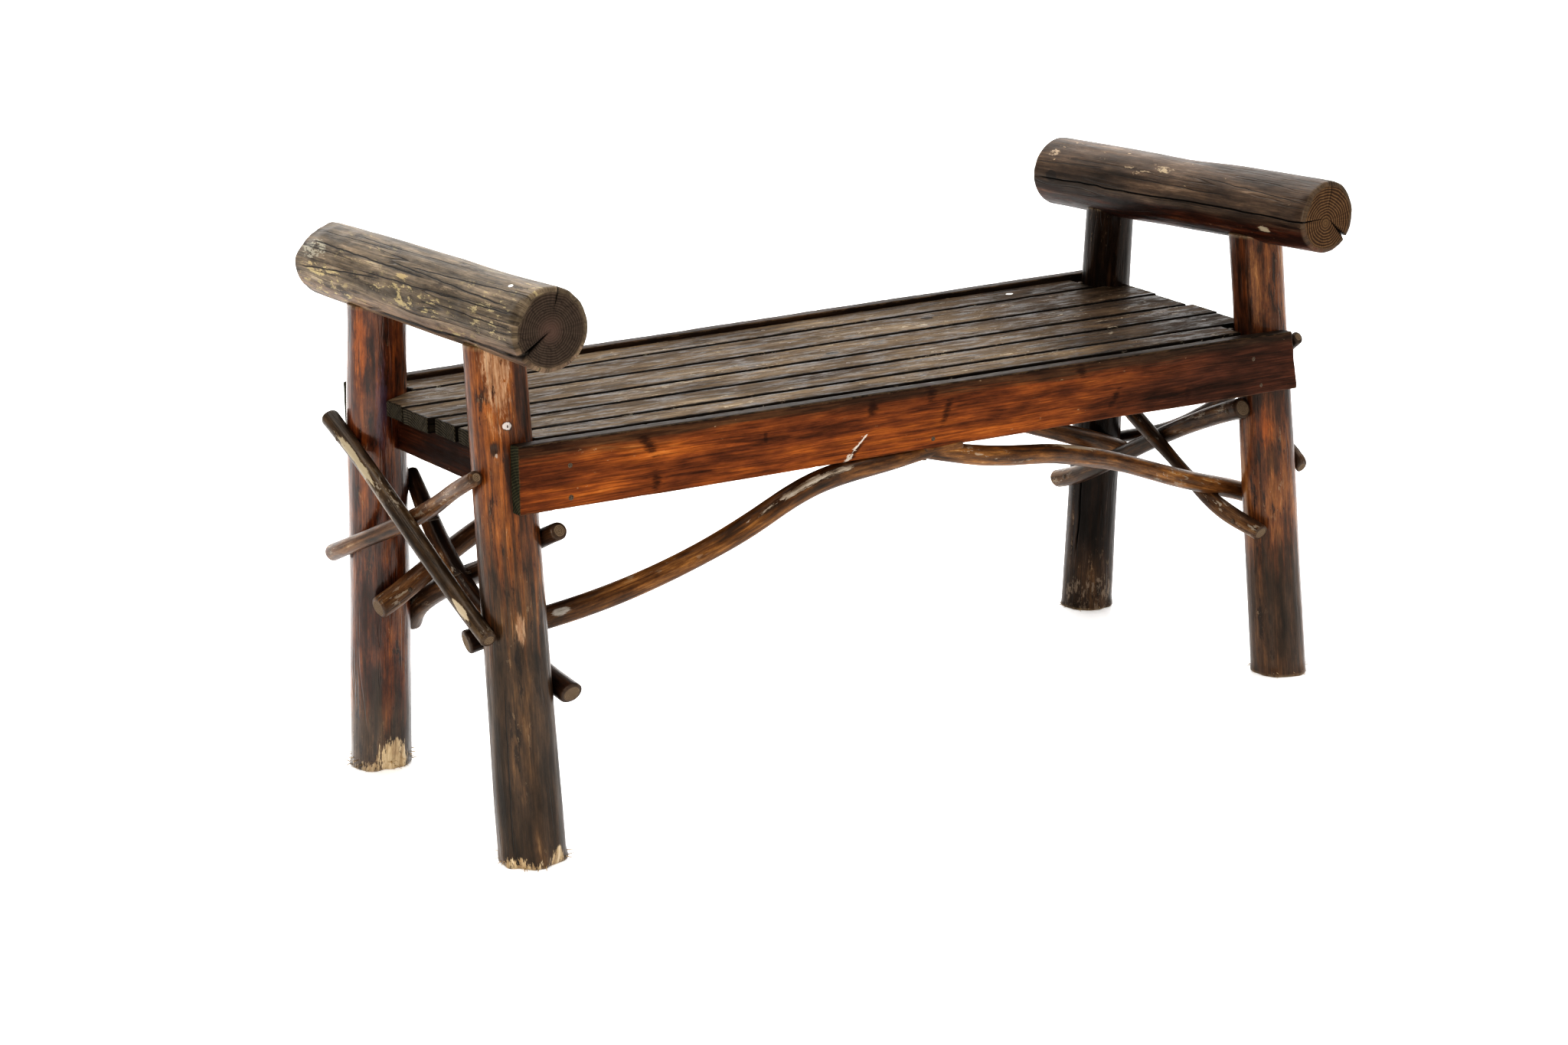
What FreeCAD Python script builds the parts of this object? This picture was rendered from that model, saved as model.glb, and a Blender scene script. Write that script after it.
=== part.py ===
import FreeCAD, Part
import Sketcher
import os
import re

# Rustic log bench. Four splayed log legs carry two log arms that lie from front to back.
# Six slats lie lengthwise on three bearers between a front and a back apron board.
# Bent branches brace both ends in crosses and arch under both aprons. Nails hold it together.
# Millimetres. +X runs along the bench, +Z is up, the front is towards -Y.
# The origin is on the floor under the middle of the bench.

doc = FreeCAD.newDocument("LogBench")
sheet = doc.addObject("Spreadsheet::Sheet", "Sizes")
derived = doc.addObject("App::VarSet", "Derived")
known_names = {}


# Seat
seat_sizes = {
    "seat_top": 445,  # top of the slats, at the level left end of the seat
    "seat_drop": 10.5,  # how far the seat's right end twists, measured at the aprons' outer faces
    "slat_thickness": 17,  # thickness of a seat slat
    "slat_gap": 5.5,  # open joint between two slats
    "slat_edge_gap": 2.5,  # open joint between the back slat and its apron
    "slat_front_gap": 24.5,  # open space between the front slat and its apron
    "slat_leg_gap": 2.5,  # open joint between a short slat and a leg
    "slat_back_width": 46,  # width of the slat between the back legs
    "slat_second_width": 65.5,  # width of the second slat from the back
    "slat_third_width": 57.5,  # width of the third slat from the back
    "slat_fourth_width": 45,  # width of the fourth slat from the back
    "slat_fifth_width": 49.5,  # width of the fifth slat from the back
    "slat_front_width": 36,  # width of the slat between the front legs
    "slat_second_left": 13,  # reach of the second slat past the left leg axes
    "slat_third_left": 14.5,  # reach of the third slat past the left leg axes
    "slat_fourth_left": 8,  # reach of the fourth slat past the left leg axes
    "slat_fifth_left": 7,  # reach of the fifth slat past the left leg axes
    "slat_second_right": 13.5,  # reach of the second slat past the right leg axes
    "slat_third_right": 8.5,  # reach of the third slat past the right leg axes
    "slat_fourth_right": 14.5,  # reach of the fourth slat past the right leg axes
    "slat_fifth_right": 10.5,  # reach of the fifth slat past the right leg axes
}

# Apron boards and bearers
board_sizes = {
    "board_thickness": 17,  # thickness of an apron board
    "apron_height": 72,  # height of an apron board
    "apron_rise": 5,  # how far the apron's top edge stands above the slats
    "front_apron_left": 8,  # reach of the front apron past the left leg axes
    "front_apron_right": 10,  # reach of the front apron past the right leg axes, at its top edge
    "front_apron_slant": 12,  # how much longer the front apron is at its bottom edge
    "back_apron_left": 18,  # reach of the back apron past the left leg axes
    "back_apron_right": 10,  # reach of the back apron past the right leg axes
    "bearer_height": 45,  # height of a bearer under the slats
    "bearer_width": 55,  # width of a bearer along the bench
    "bearer_inset": 9,  # outer face of an end bearer, inside the leg axes
    "bearer_shift": -10,  # middle bearer's centre, from the middle of the bench
    "bearer_gap": 0.3,  # play between a bearer and the twisted slats
}

# Legs
leg_sizes = {
    "leg_span": 1048,  # distance between the left and right leg axes at the arm joint
    "leg_joint_height": 560,  # height at which the leg span and the top radii are measured
    "leg_splay": 44,  # how far each foot stands out, in front or behind, below its arm joint
    "leg_housing": 1.5,  # depth of the flat that an apron board sits in
    "front_left_foot_radius": 36,  # front left leg, radius at the floor
    "front_left_top_radius": 31.4,  # front left leg, radius at the arm joint
    "front_left_spread": -0.5,  # front left foot, outwards from its arm joint
    "back_left_foot_radius": 34.5,  # back left leg, radius at the floor
    "back_left_top_radius": 32.7,  # back left leg, radius at the arm joint
    "back_left_spread": 2,  # back left foot, outwards from its arm joint
    "front_right_foot_radius": 34.5,  # front right leg, radius at the floor
    "front_right_top_radius": 32,  # front right leg, radius at the arm joint
    "front_right_spread": 25,  # front right foot, outwards from its arm joint
    "back_right_foot_radius": 33.8,  # back right leg, radius at the floor
    "back_right_top_radius": 30.4,  # back right leg, radius at the arm joint
    "back_right_spread": 10,  # back right foot, outwards from its arm joint
}

# Arm logs
arm_sizes = {
    "left_arm_height": 579,  # axis of the left arm log
    "left_arm_radius": 42,  # mean radius of the left arm log
    "left_arm_length": 511,  # length of the left arm log
    "left_arm_forward": 1,  # how far the left arm log is set towards the front
    "right_arm_height": 587,  # axis of the right arm log
    "right_arm_radius": 43.5,  # mean radius of the right arm log
    "right_arm_length": 498,  # length of the right arm log
    "right_arm_forward": 7,  # how far the right arm log is set towards the front
    "leg_let_in": 8,  # how deep a leg is let into the underside of its arm log
    "dowel_radius": 11,  # round tenon between a leg and its arm log
    "dowel_depth": 28,  # depth of the tenon in the leg and in the arm
}

# Branches
branch_sizes = {
    "branch_seat": 1.2,  # depth of the hollow where a branch lies against a log or a board
    "arch_left_root_radius": 13,  # left arch branches, radius at the leg
    "arch_right_root_radius": 12,  # right arch branches, radius at the leg
    "arch_crown_radius": 11,  # arch branches, radius under the apron
    "scarf_length": 70,  # length of the slanting joint where two arch branches meet
    "scarf_middle": 0,  # middle of that joint, from the middle of the bench
    "front_left_arch_height": 228,  # front left arch branch at its outer end
    "front_left_arch_reach": 35,  # front left arch branch past its leg's axis
    "front_right_arch_height": 217,  # front right arch branch at its outer end
    "front_right_arch_reach": 8,  # front right arch branch past its leg's axis
    "back_left_arch_height": 206,  # back left arch branch at its outer end
    "back_left_arch_reach": 24,  # back left arch branch past its leg's axis
    "back_right_arch_height": 225,  # back right arch branch at its outer end
    "back_right_arch_reach": 15,  # back right arch branch past its leg's axis
}

# End braces: height at each end, reach past the leg's axis, and radius at each end
brace_sizes = {
    "left_outer_falling_back_height": 415.5,  # left outer straight brace, back end
    "left_outer_falling_front_height": 249.5,  # left outer straight brace, front end
    "left_outer_falling_back_reach": 35,  # left outer straight brace, past the back leg
    "left_outer_falling_front_reach": 23,  # left outer straight brace, past the front leg
    "left_outer_falling_back_radius": 10,  # left outer straight brace, back radius
    "left_outer_falling_front_radius": 9.4,  # left outer straight brace, front radius
    "left_outer_rising_back_height": 257,  # left outer bent brace, back end
    "left_outer_rising_front_height": 417,  # left outer bent brace, front end
    "left_outer_rising_back_reach": 31,  # left outer bent brace, past the back leg
    "left_outer_rising_front_reach": 17,  # left outer bent brace, past the front leg
    "left_outer_rising_back_radius": 9.8,  # left outer bent brace, back radius
    "left_outer_rising_front_radius": 7.8,  # left outer bent brace, front radius
    "left_inner_falling_back_height": 345,  # left inner hanging brace, back end
    "left_inner_falling_front_height": 177,  # left inner hanging brace, front end
    "left_inner_falling_back_reach": 3,  # left inner hanging brace, past the back leg
    "left_inner_falling_front_reach": 27,  # left inner hanging brace, past the front leg
    "left_inner_falling_back_radius": 9,  # left inner hanging brace, back radius
    "left_inner_falling_front_radius": 13,  # left inner hanging brace, front radius
    "left_inner_rising_back_height": 165,  # left inner arched brace, back end
    "left_inner_rising_front_height": 353,  # left inner arched brace, front end
    "left_inner_rising_back_reach": 12,  # left inner arched brace, past the back leg
    "left_inner_rising_front_reach": 34,  # left inner arched brace, past the front leg
    "left_inner_rising_back_radius": 13.6,  # left inner arched brace, back radius
    "left_inner_rising_front_radius": 10,  # left inner arched brace, front radius
    "right_inner_falling_back_height": 372,  # right inner lapped brace, back end
    "right_inner_falling_front_height": 193,  # right inner lapped brace, front end
    "right_inner_falling_back_reach": 14,  # right inner lapped brace, past the back leg
    "right_inner_falling_front_reach": 30,  # right inner lapped brace, past the front leg
    "right_inner_falling_back_radius": 9.8,  # right inner lapped brace, back radius
    "right_inner_falling_front_radius": 10.8,  # right inner lapped brace, front radius
    "right_inner_rising_back_height": 182,  # right inner stout brace, back end
    "right_inner_rising_front_height": 344,  # right inner stout brace, front end
    "right_inner_rising_back_reach": 24,  # right inner stout brace, past the back leg
    "right_inner_rising_front_reach": 9,  # right inner stout brace, past the front leg
    "right_inner_rising_back_radius": 12.4,  # right inner stout brace, back radius
    "right_inner_rising_front_radius": 13,  # right inner stout brace, front radius
    "right_outer_rising_back_height": 222,  # right outer thin brace, back end
    "right_outer_rising_front_height": 424,  # right outer thin brace, front end
    "right_outer_rising_back_reach": 22,  # right outer thin brace, past the back leg
    "right_outer_rising_front_reach": 23.5,  # right outer thin brace, past the front leg
    "right_outer_rising_back_radius": 8.4,  # right outer thin brace, back radius
    "right_outer_rising_front_radius": 8.1,  # right outer thin brace, front radius
    "right_outer_falling_back_height": 415,  # right outer hooked brace, back end
    "right_outer_falling_front_height": 258,  # right outer hooked brace, front end
    "right_outer_falling_back_reach": 38,  # right outer hooked brace, past the back leg
    "right_outer_falling_front_reach": 17,  # right outer hooked brace, past the front leg
    "right_outer_falling_back_radius": 9.4,  # right outer hooked brace, back radius
    "right_outer_falling_front_radius": 9,  # right outer hooked brace, front radius
}

# Nails
nail_sizes = {
    "nail_radius": 1.6,  # radius of a nail's shank
    "nail_head_radius": 3.4,  # radius of a nail's head
    "nail_head_thickness": 1.6,  # thickness of a nail's head
    "nail_head_proud": 0.4,  # how far a nail's head stands out of the wood
    "slat_nail_length": 45,  # nail through a slat into a bearer
    "apron_nail_length": 50,  # nail through an apron into the end of a bearer
    "apron_nail_high": 27,  # upper apron nail below the apron's top edge
    "apron_nail_low": 61,  # lower apron nail below the apron's top edge
    "apron_nail_inset": 52,  # apron nails over an end bearer, from the leg axes
    "apron_nail_step": 14,  # lower right apron nail nearer to the leg than the upper one
    "bearer_nail_length": 65,  # nail through an end bearer into a leg
    "branch_nail_bite": 30,  # how deep a branch nail goes into a log
    "crown_nail_left": 17,  # left nail of the slanting joint, from the joint's middle
    "crown_nail_right": 10,  # right nail of the slanting joint, from the joint's middle
    "cut_overrun": 20,  # how far a cutting shape reaches past what it cuts
}

# Every size goes into the sheet under its own name
tables = [seat_sizes, board_sizes, leg_sizes, arm_sizes, branch_sizes, brace_sizes, nail_sizes]
rows = [row for table in tables for row in table.items()]
for number, (name, value) in enumerate(rows, start=1):
    sheet.set(f"A{number}", name)
    sheet.set(f"B{number}", str(value))
    sheet.setAlias(f"B{number}", name)
    known_names[name] = "Sizes." + name
doc.recompute()


def full(text):
    """Puts the owner's name before each known value in an expression."""
    return re.sub(r"[a-z_]+[a-z0-9_]*", lambda word: known_names.get(word[0], word[0]), text)


def derive(name, text):
    """Keeps a value that follows from the driving dimensions."""
    derived.addProperty("App::PropertyFloat", name)
    derived.setExpression(name, full(text))
    known_names[name] = "Derived." + name


def bind(item, **expressions):
    """Binds an object's properties to expressions."""
    for name, text in expressions.items():
        item.setExpression(name, full(text))
    return item


def shift(x, y, z, turn="rotation(0; 0; 0)"):
    """Expression of a placement at a point."""
    return f"placement(vector({x}; {y}; {z}); {turn})"


def add(kind, name):
    return doc.addObject(kind, name)


def carve(base, tools, label):
    """Cuts the tools out of the base, one after another, and labels the result."""
    result = base
    for tool in tools:
        cut = add("Part::Cut", label + "_cut")
        cut.Base = result
        cut.Tool = tool
        result = cut
    result.Label = label
    return result


def group(items, label):
    compound = add("Part::Compound", label)
    compound.Links = items
    compound.Label = label
    return compound


# Values that follow from the sizes
slat_names = ["back", "second", "third", "fourth", "fifth", "front"]
widths = " + ".join(f"slat_{name}_width" for name in slat_names)
gap_count = len(slat_names) - 1
derive("inner_depth", f"{widths} + {gap_count} * slat_gap + slat_edge_gap + slat_front_gap")
derive("half_depth", "inner_depth / 2 + board_thickness")
derive("apron_middle", "seat_top + apron_rise - apron_height / 2")
derive("seat_left", "-leg_span / 2 - front_apron_left")
derive("seat_length", "leg_span + front_apron_left + front_apron_right")
derive("arch_line", "inner_depth / 2 + board_thickness / 2")


def seat_slope(x):
    """Rise of the seat per unit of depth at a place along the bench."""
    return f"(seat_drop / half_depth * (({x}) - seat_left) / seat_length)"


# Legs: a tapering log along a leaning axis
legs = {"front_left": (-1, -1), "back_left": (-1, 1), "front_right": (1, -1), "back_right": (1, 1)}
leg_cones = {}


def leg_x(leg, z):
    side = legs[leg][0]
    return f"({side} * (leg_span / 2 + {leg}_spread * (1 - ({z}) / leg_joint_height)))"


def leg_y(leg, z):
    end = legs[leg][1]
    return f"({end} * ({leg}_top_y + leg_splay * (1 - ({z}) / leg_joint_height)))"


def leg_radius(leg, z):
    taper = f"({leg}_top_radius - {leg}_foot_radius)"
    return f"({leg}_foot_radius + {taper} * ({z}) / leg_joint_height)"


def along(start, end):
    """Length and placement of an axis that runs from one point to another along its own Z."""
    dx, dy, dz = [f"({b} - {a})" for a, b in zip(start, end)]
    length = f"sqrt({dx} ^ 2 + {dy} ^ 2 + {dz} ^ 2)"
    turn = f"rotation(atan2({dy}; {dx}); acos({dz} / {length}); 0)"
    return length, shift(*start, turn)


for leg, (side, end) in legs.items():
    derive(leg + "_top_y", f"inner_depth / 2 + leg_housing - {leg_radius(leg, 'apron_middle')}"
           " - leg_splay * (1 - apron_middle / leg_joint_height)")
    place = "left" if side < 0 else "right"
    top = f"({place}_arm_height - {place}_arm_radius + leg_let_in)"
    foot = [leg_x(leg, "-cut_overrun"), leg_y(leg, "-cut_overrun"), "-cut_overrun"]
    head = [leg_x(leg, top), leg_y(leg, top), top]
    leg_length, leg_place = along(foot, head)
    derive(leg + "_length", leg_length)
    cone = add("Part::Cone", leg + "_log")
    bind(cone, Radius1=leg_radius(leg, "-cut_overrun"), Radius2=leg_radius(leg, top),
         Height=leg + "_length", Placement=leg_place)
    leg_cones[leg] = cone


# Arm logs: a slightly uneven loft from front to back
arm_swell_shares = {
    "left": [(0, 1), (0.2, 0.99), (0.5, 0.985), (0.8, 0.995), (1, 0.985)],
    "right": [(0, 0.975), (0.22, 0.985), (0.5, 1), (0.75, 1.015), (1, 1.02)],
}
arm_logs = {}
for side, sign in (("left", -1), ("right", 1)):
    circles = []
    for step, (share, swell_share) in enumerate(arm_swell_shares[side]):
        circle = add("Part::Circle", f"{side}_arm_ring_{step}")
        bind(circle, Radius=f"{side}_arm_radius * {swell_share}",
             Placement=shift(0, 0, f"{side}_arm_length * {share}"))
        circles.append(circle)
    log = add("Part::Loft", side + "_arm_log")
    log.Sections = circles
    log.Solid = True
    bind(log, Placement=shift(f"{sign} * leg_span / 2", f"-{side}_arm_length / 2 - {side}_arm_forward",
                              f"{side}_arm_height", "rotation(90; 90; 0)"))
    arm_logs[side] = log


# Round tenons, half in the leg and half in the arm
dowels = []
for leg, (side, end) in legs.items():
    dowel = add("Part::Cylinder", leg + "_dowel")
    bind(dowel, Radius="dowel_radius", Height="2 * dowel_depth",
         Placement=f"{leg}_log.Placement * "
         + shift(0, 0, f"{leg}_length - dowel_depth"))
    dowels.append(dowel)
arm_dowels = group(dowels, "arm_dowels")


# Apron boards: a sketch of the board's face, padded by its thickness
def apron(name, corners, near_face):
    body = add("PartDesign::Body", name + "_board")
    outline = body.newObject("Sketcher::SketchObject", name + "_outline")
    plane = [item for item in body.Origin.OriginFeatures if item.Role == "XZ_Plane"][0]
    outline.AttachmentSupport = [(plane, "")]
    outline.MapMode = "FlatFace"
    outline.setExpression("AttachmentOffset.Base.z", full(near_face))
    guess = [FreeCAD.Vector(x, z, 0) for x, z in ((-1, -1), (1, -1), (1, 1), (-1, 1))]
    for start, end in zip(guess, guess[1:] + guess[:1]):
        outline.addGeometry(Part.LineSegment(start, end), False)
    for edge in range(len(guess)):
        following = (edge + 1) % len(guess)
        outline.addConstraint(Sketcher.Constraint("Coincident", edge, 2, following, 1))
    for corner, (x, z) in enumerate(corners):
        for kind, text in (("DistanceX", x), ("DistanceY", z)):
            start = guess[corner].x if kind == "DistanceX" else guess[corner].y
            index = outline.addConstraint(Sketcher.Constraint(kind, -1, 1, corner, 1, start))
            outline.setExpression(f"Constraints[{index}]", full(text))
    doc.recompute()
    pad = body.newObject("PartDesign::Pad", name + "_pad")
    pad.Profile = outline
    pad.setExpression("Length", full("board_thickness"))
    return body


apron_top = "seat_top + apron_rise"
apron_bottom = "seat_top + apron_rise - apron_height"
front_board = apron("apron_front", [
    ("-leg_span / 2 - front_apron_left", apron_bottom),
    ("leg_span / 2 + front_apron_right + front_apron_slant", apron_bottom + " - seat_drop"),
    ("leg_span / 2 + front_apron_right", apron_top + " - seat_drop"),
    ("-leg_span / 2 - front_apron_left", apron_top)], "inner_depth / 2")
back_board = apron("apron_back", [
    ("-leg_span / 2 - back_apron_left", apron_bottom),
    ("leg_span / 2 + back_apron_right", apron_bottom + " + seat_drop"),
    ("leg_span / 2 + back_apron_right", apron_top + " + seat_drop"),
    ("-leg_span / 2 - back_apron_left", apron_top)], "-half_depth")
both_boards = group([front_board, back_board], "both_boards")


# Slats: each a ruled loft between its two end faces, so that it follows the seat's twist
def slat_end(name, x, front_edge, width):
    face = add("Part::Plane", name)
    turn = f"rotation(vector(1; 0; 0); atan({seat_slope(x)})) * rotation(vector(0; 1; 0); 90)"
    bind(face, Length="slat_thickness", Width=width,
         Placement=shift(x, front_edge, f"seat_top + ({front_edge}) * {seat_slope(x)}", turn))
    return face


slat_boards = {}
slat_lines = {}
back_edge = "inner_depth / 2 - slat_edge_gap"
for name in slat_names:
    width = f"slat_{name}_width"
    derive(f"slat_{name}_edge", f"{back_edge} - {width}")
    back_edge = f"slat_{name}_edge - slat_gap"
    slat_lines[name] = f"(slat_{name}_edge + {width} / 2)"
    if name in ("back", "front"):
        reach = [f"(leg_span / 2 - slat_leg_gap - {leg_radius(name + side, 'seat_top')})"
                 for side in ("_left", "_right")]
    else:
        reach = [f"(leg_span / 2 + slat_{name}_{side})" for side in ("left", "right")]
    ends = [slat_end(f"slat_{name}_left_end", f"(-{reach[0]})", f"slat_{name}_edge", width),
            slat_end(f"slat_{name}_right_end", reach[1], f"slat_{name}_edge", width)]
    board = add("Part::Loft", f"slat_{name}_board")
    board.Sections = ends
    board.Solid = True
    board.Ruled = True
    slat_boards[name] = board


# Bearers: battens under the slats, let in round the legs
derive("left_bearer_x", "-leg_span / 2 + bearer_inset + bearer_width / 2")
derive("middle_bearer_x", "bearer_shift")
derive("right_bearer_x", "leg_span / 2 - bearer_inset - bearer_width / 2")
bearer_battens = {}
for place in ("left", "middle", "right"):
    x = place + "_bearer_x"
    batten = add("Part::Box", place + "_bearer_batten")
    turn = f"rotation(vector(1; 0; 0); atan({seat_slope(x)}))"
    corner = shift("-bearer_width / 2", "-inner_depth / 2 - board_thickness / 2",
                   "-slat_thickness - bearer_gap - bearer_height")
    bind(batten, Length="bearer_width", Width="inner_depth + board_thickness", Height="bearer_height",
         Placement=shift(x, 0, "seat_top", turn) + " * " + corner)
    bearer_battens[place] = batten


# Branches: a loft through rings along a straight chord, each ring moved sideways where it bends.
# A bend is (share of the chord, rise as a share of the chord, sideways offset, girth share).
def branch(name, start, end, radii, bend_shares):
    length, place = along(start, end)
    derive(name + "_length", length)
    rings = []
    for step, (share, rise_share, sideways, girth_share) in enumerate(bend_shares):
        ring = add("Part::Circle", f"{name}_ring_{step}")
        radius = f"({radii[0]} + ({radii[1]} - {radii[0]}) * {share}) * {girth_share}"
        bind(ring, Radius=radius,
             Placement=shift(f"-{name}_length * ({rise_share})", sideways, f"{name}_length * {share}"))
        rings.append(ring)
    pole = add("Part::Loft", name + "_pole")
    pole.Sections = rings
    pole.Solid = True
    bind(pole, Placement=place)
    return pole


def bend_at(bend_shares, share):
    """Rise share, sideways expression and girth share between two rings of a branch."""
    for low, high in zip(bend_shares, bend_shares[1:]):
        if low[0] <= share <= high[0]:
            part_share = round((share - low[0]) / (high[0] - low[0]), 4)
            rise_share = round(low[1] + (high[1] - low[1]) * part_share, 4)
            girth_share = round(low[3] + (high[3] - low[3]) * part_share, 4)
            sideways = f"(({low[2]}) * {round(1 - part_share, 4)} + ({high[2]}) * {part_share})"
            return rise_share, sideways, girth_share


# Nails: a shank with a flat head, along the nail's own Z
def nail(name, length, place):
    shank = add("Part::Cylinder", name + "_shank")
    bind(shank, Radius="nail_radius", Height=length)
    head = add("Part::Cylinder", name + "_head")
    bind(head, Radius="nail_head_radius", Height="nail_head_thickness")
    whole = add("Part::Fuse", name)
    whole.Base = shank
    whole.Tool = head
    bind(whole, Placement=place)
    return whole


# End braces, each a row of rings: share of the chord, rise share, lap share and girth share.
# A lap share moves a ring away from the legs, or between them where it is negative, by that
# share of both branches' radii, so that two braces pass each other.
brace_shares = {
    "left_outer_falling": [(0, 0, 0, 1), (0.35, 0.004, 0, 1), (0.7, -0.003, 0, 1), (1, 0, 0, 1)],
    "left_outer_rising": [(0, 0, 0, 1), (0.2, -0.008, 0, 1.04), (0.4, -0.009, -0.7, 1.06),
                          (0.55, -0.007, -1, 1.05), (0.7, -0.004, -0.7, 1.05), (0.86, -0.004, 0, 1.04),
                          (1, 0, 0, 1)],
    "left_inner_falling": [(0, 0, 0, 1), (0.1, -0.04, 0, 1.12), (0.3, -0.08, -0.25, 1.14),
                           (0.42, -0.09, -0.3, 1.1), (0.6, -0.087, -0.2, 1.06), (0.8, -0.062, 0, 1),
                           (0.9, -0.034, 0, 1), (1, 0, 0, 1)],
    "left_inner_rising": [(0, 0, 0, 0.97), (0.12, 0.034, 0, 0.97), (0.28, 0.04, 0.6, 1),
                          (0.42, 0.031, 0.7, 0.97), (0.6, 0.018, 0.55, 0.9), (0.8, 0.008, 0, 0.95),
                          (1, 0, 0, 1)],
    "right_inner_falling": [(0, 0, 0, 1), (0.15, 0.018, 0.3, 1), (0.35, 0.025, 1.1, 0.98),
                            (0.5, 0.019, 1.25, 0.95), (0.66, -0.002, 1.05, 0.76), (0.8, -0.024, 0.65, 0.95),
                            (0.9, -0.026, 0.2, 1.04), (1, -0.007, 0, 1)],
    "right_inner_rising": [(0, 0, 0, 1), (0.13, -0.013, 0, 1), (0.42, -0.002, 0.22, 0.86),
                           (0.63, 0.008, 0.18, 0.86), (0.83, 0.011, 0, 0.93), (1, 0, 0, 1)],
    "right_outer_rising": [(0, 0, 0, 1), (0.11, -0.016, 0, 1), (0.21, -0.04, 0, 1), (0.31, -0.058, 0, 1),
                           (0.43, -0.066, 0, 1), (0.54, -0.065, 0, 1), (0.72, -0.045, 0, 1),
                           (0.88, -0.019, 0, 1), (1, 0, 0, 1)],
    "right_outer_falling": [(0, 0, 0, 1), (0.15, 0.036, 0, 1), (0.31, 0.073, -0.3, 1), (0.47, 0.097, -0.8, 1),
                            (0.64, 0.104, -1, 0.95), (0.78, 0.064, -0.4, 0.85), (0.87, 0.032, 0, 0.8),
                            (0.94, 0.028, 0, 0.82), (1, 0, 0, 0.95)],
}
partners = {
    "left_outer_falling": "left_outer_rising", "left_inner_falling": "left_inner_rising",
    "right_inner_falling": "right_inner_rising", "right_outer_rising": "right_outer_falling",
}
partners.update({under: over for over, under in partners.items()})
brace_poles = {}
brace_nails = []
brace_bends = {}


def brace_side(name):
    """Left or right, and the direction along X away from the legs."""
    side = name.split("_")[0]
    outwards = -1 if side == "left" else 1
    return side, outwards if "_outer_" in name else -outwards


for name, rows in brace_shares.items():
    side, away = brace_side(name)
    partner = partners[name]
    lap = (f"(({name}_back_radius + {name}_front_radius"
           f" + {partner}_back_radius + {partner}_front_radius) / 2 - branch_seat)")
    bend_shares = [(share, rise_share, f"{round(away * lap_share, 3)} * {lap}", girth_share)
                   for share, rise_share, lap_share, girth_share in rows]
    points = []
    for end, sign in (("back", 1), ("front", -1)):
        leg = f"{end}_{side}"
        height = f"{name}_{end}_height"
        radius = f"{name}_{end}_radius"
        reach = f"{name}_{end}_reach"
        offset = f"({leg_radius(leg, height)} + {radius} - branch_seat)"
        points.append([f"({leg_x(leg, height)} + {away} * {offset})",
                       f"({leg_y(leg, height)} + {sign} * {reach})", height])
    radii = (name + "_back_radius", name + "_front_radius")
    brace_poles[name] = branch(name, points[0], points[1], radii, bend_shares)
    brace_bends[name] = bend_shares


def branch_nail(name, pole, bend_shares, share, across, radii, bite):
    """A nail through a branch at a share of its chord, along its own Y, from the side `across`."""
    rise_share, sideways, girth_share = bend_at(bend_shares, share)
    radius = f"(({radii[0]} + ({radii[1]} - {radii[0]}) * {share}) * {girth_share})"
    turn = f"rotation(vector(1; 0; 0); {across * 90})"
    place = shift(f"-{name}_length * ({rise_share})",
                  f"{sideways} + {across} * ({radius} + nail_head_proud)", f"{name}_length * {share}", turn)
    index = len(brace_nails) + len(arch_nails) + 1
    return nail(f"branch_nail_{index}", f"2 * {radius} + {bite}", f"{pole.Name}.Placement * {place}")


arch_nails = []
brace_nail_shares = {
    "left_outer_falling": (0.1, 0.5, 0.93), "left_outer_rising": (0.1, None, 0.95),
    "left_inner_falling": (0.045, None, 0.88), "left_inner_rising": (0.05, 0.43, 0.92),
    "right_inner_falling": (0.045, 0.52, 0.91), "right_inner_rising": (0.08, None, 0.96),
    "right_outer_rising": (0.06, 0.68, 0.94), "right_outer_falling": (0.1, None, 0.93),
}
for name, (back_share, middle_share, front_share) in brace_nail_shares.items():
    away = brace_side(name)[1]
    pole = brace_poles[name]
    bends = brace_bends[name]
    radii = (name + "_back_radius", name + "_front_radius")
    for share in (back_share, front_share):
        brace_nails.append(branch_nail(name, pole, bends, share, away, radii, "branch_nail_bite"))
    if middle_share:
        bite = f"({partners[name]}_back_radius + {partners[name]}_front_radius) / 2"
        brace_nails.append(branch_nail(name, pole, bends, middle_share, away, radii, bite))


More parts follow.
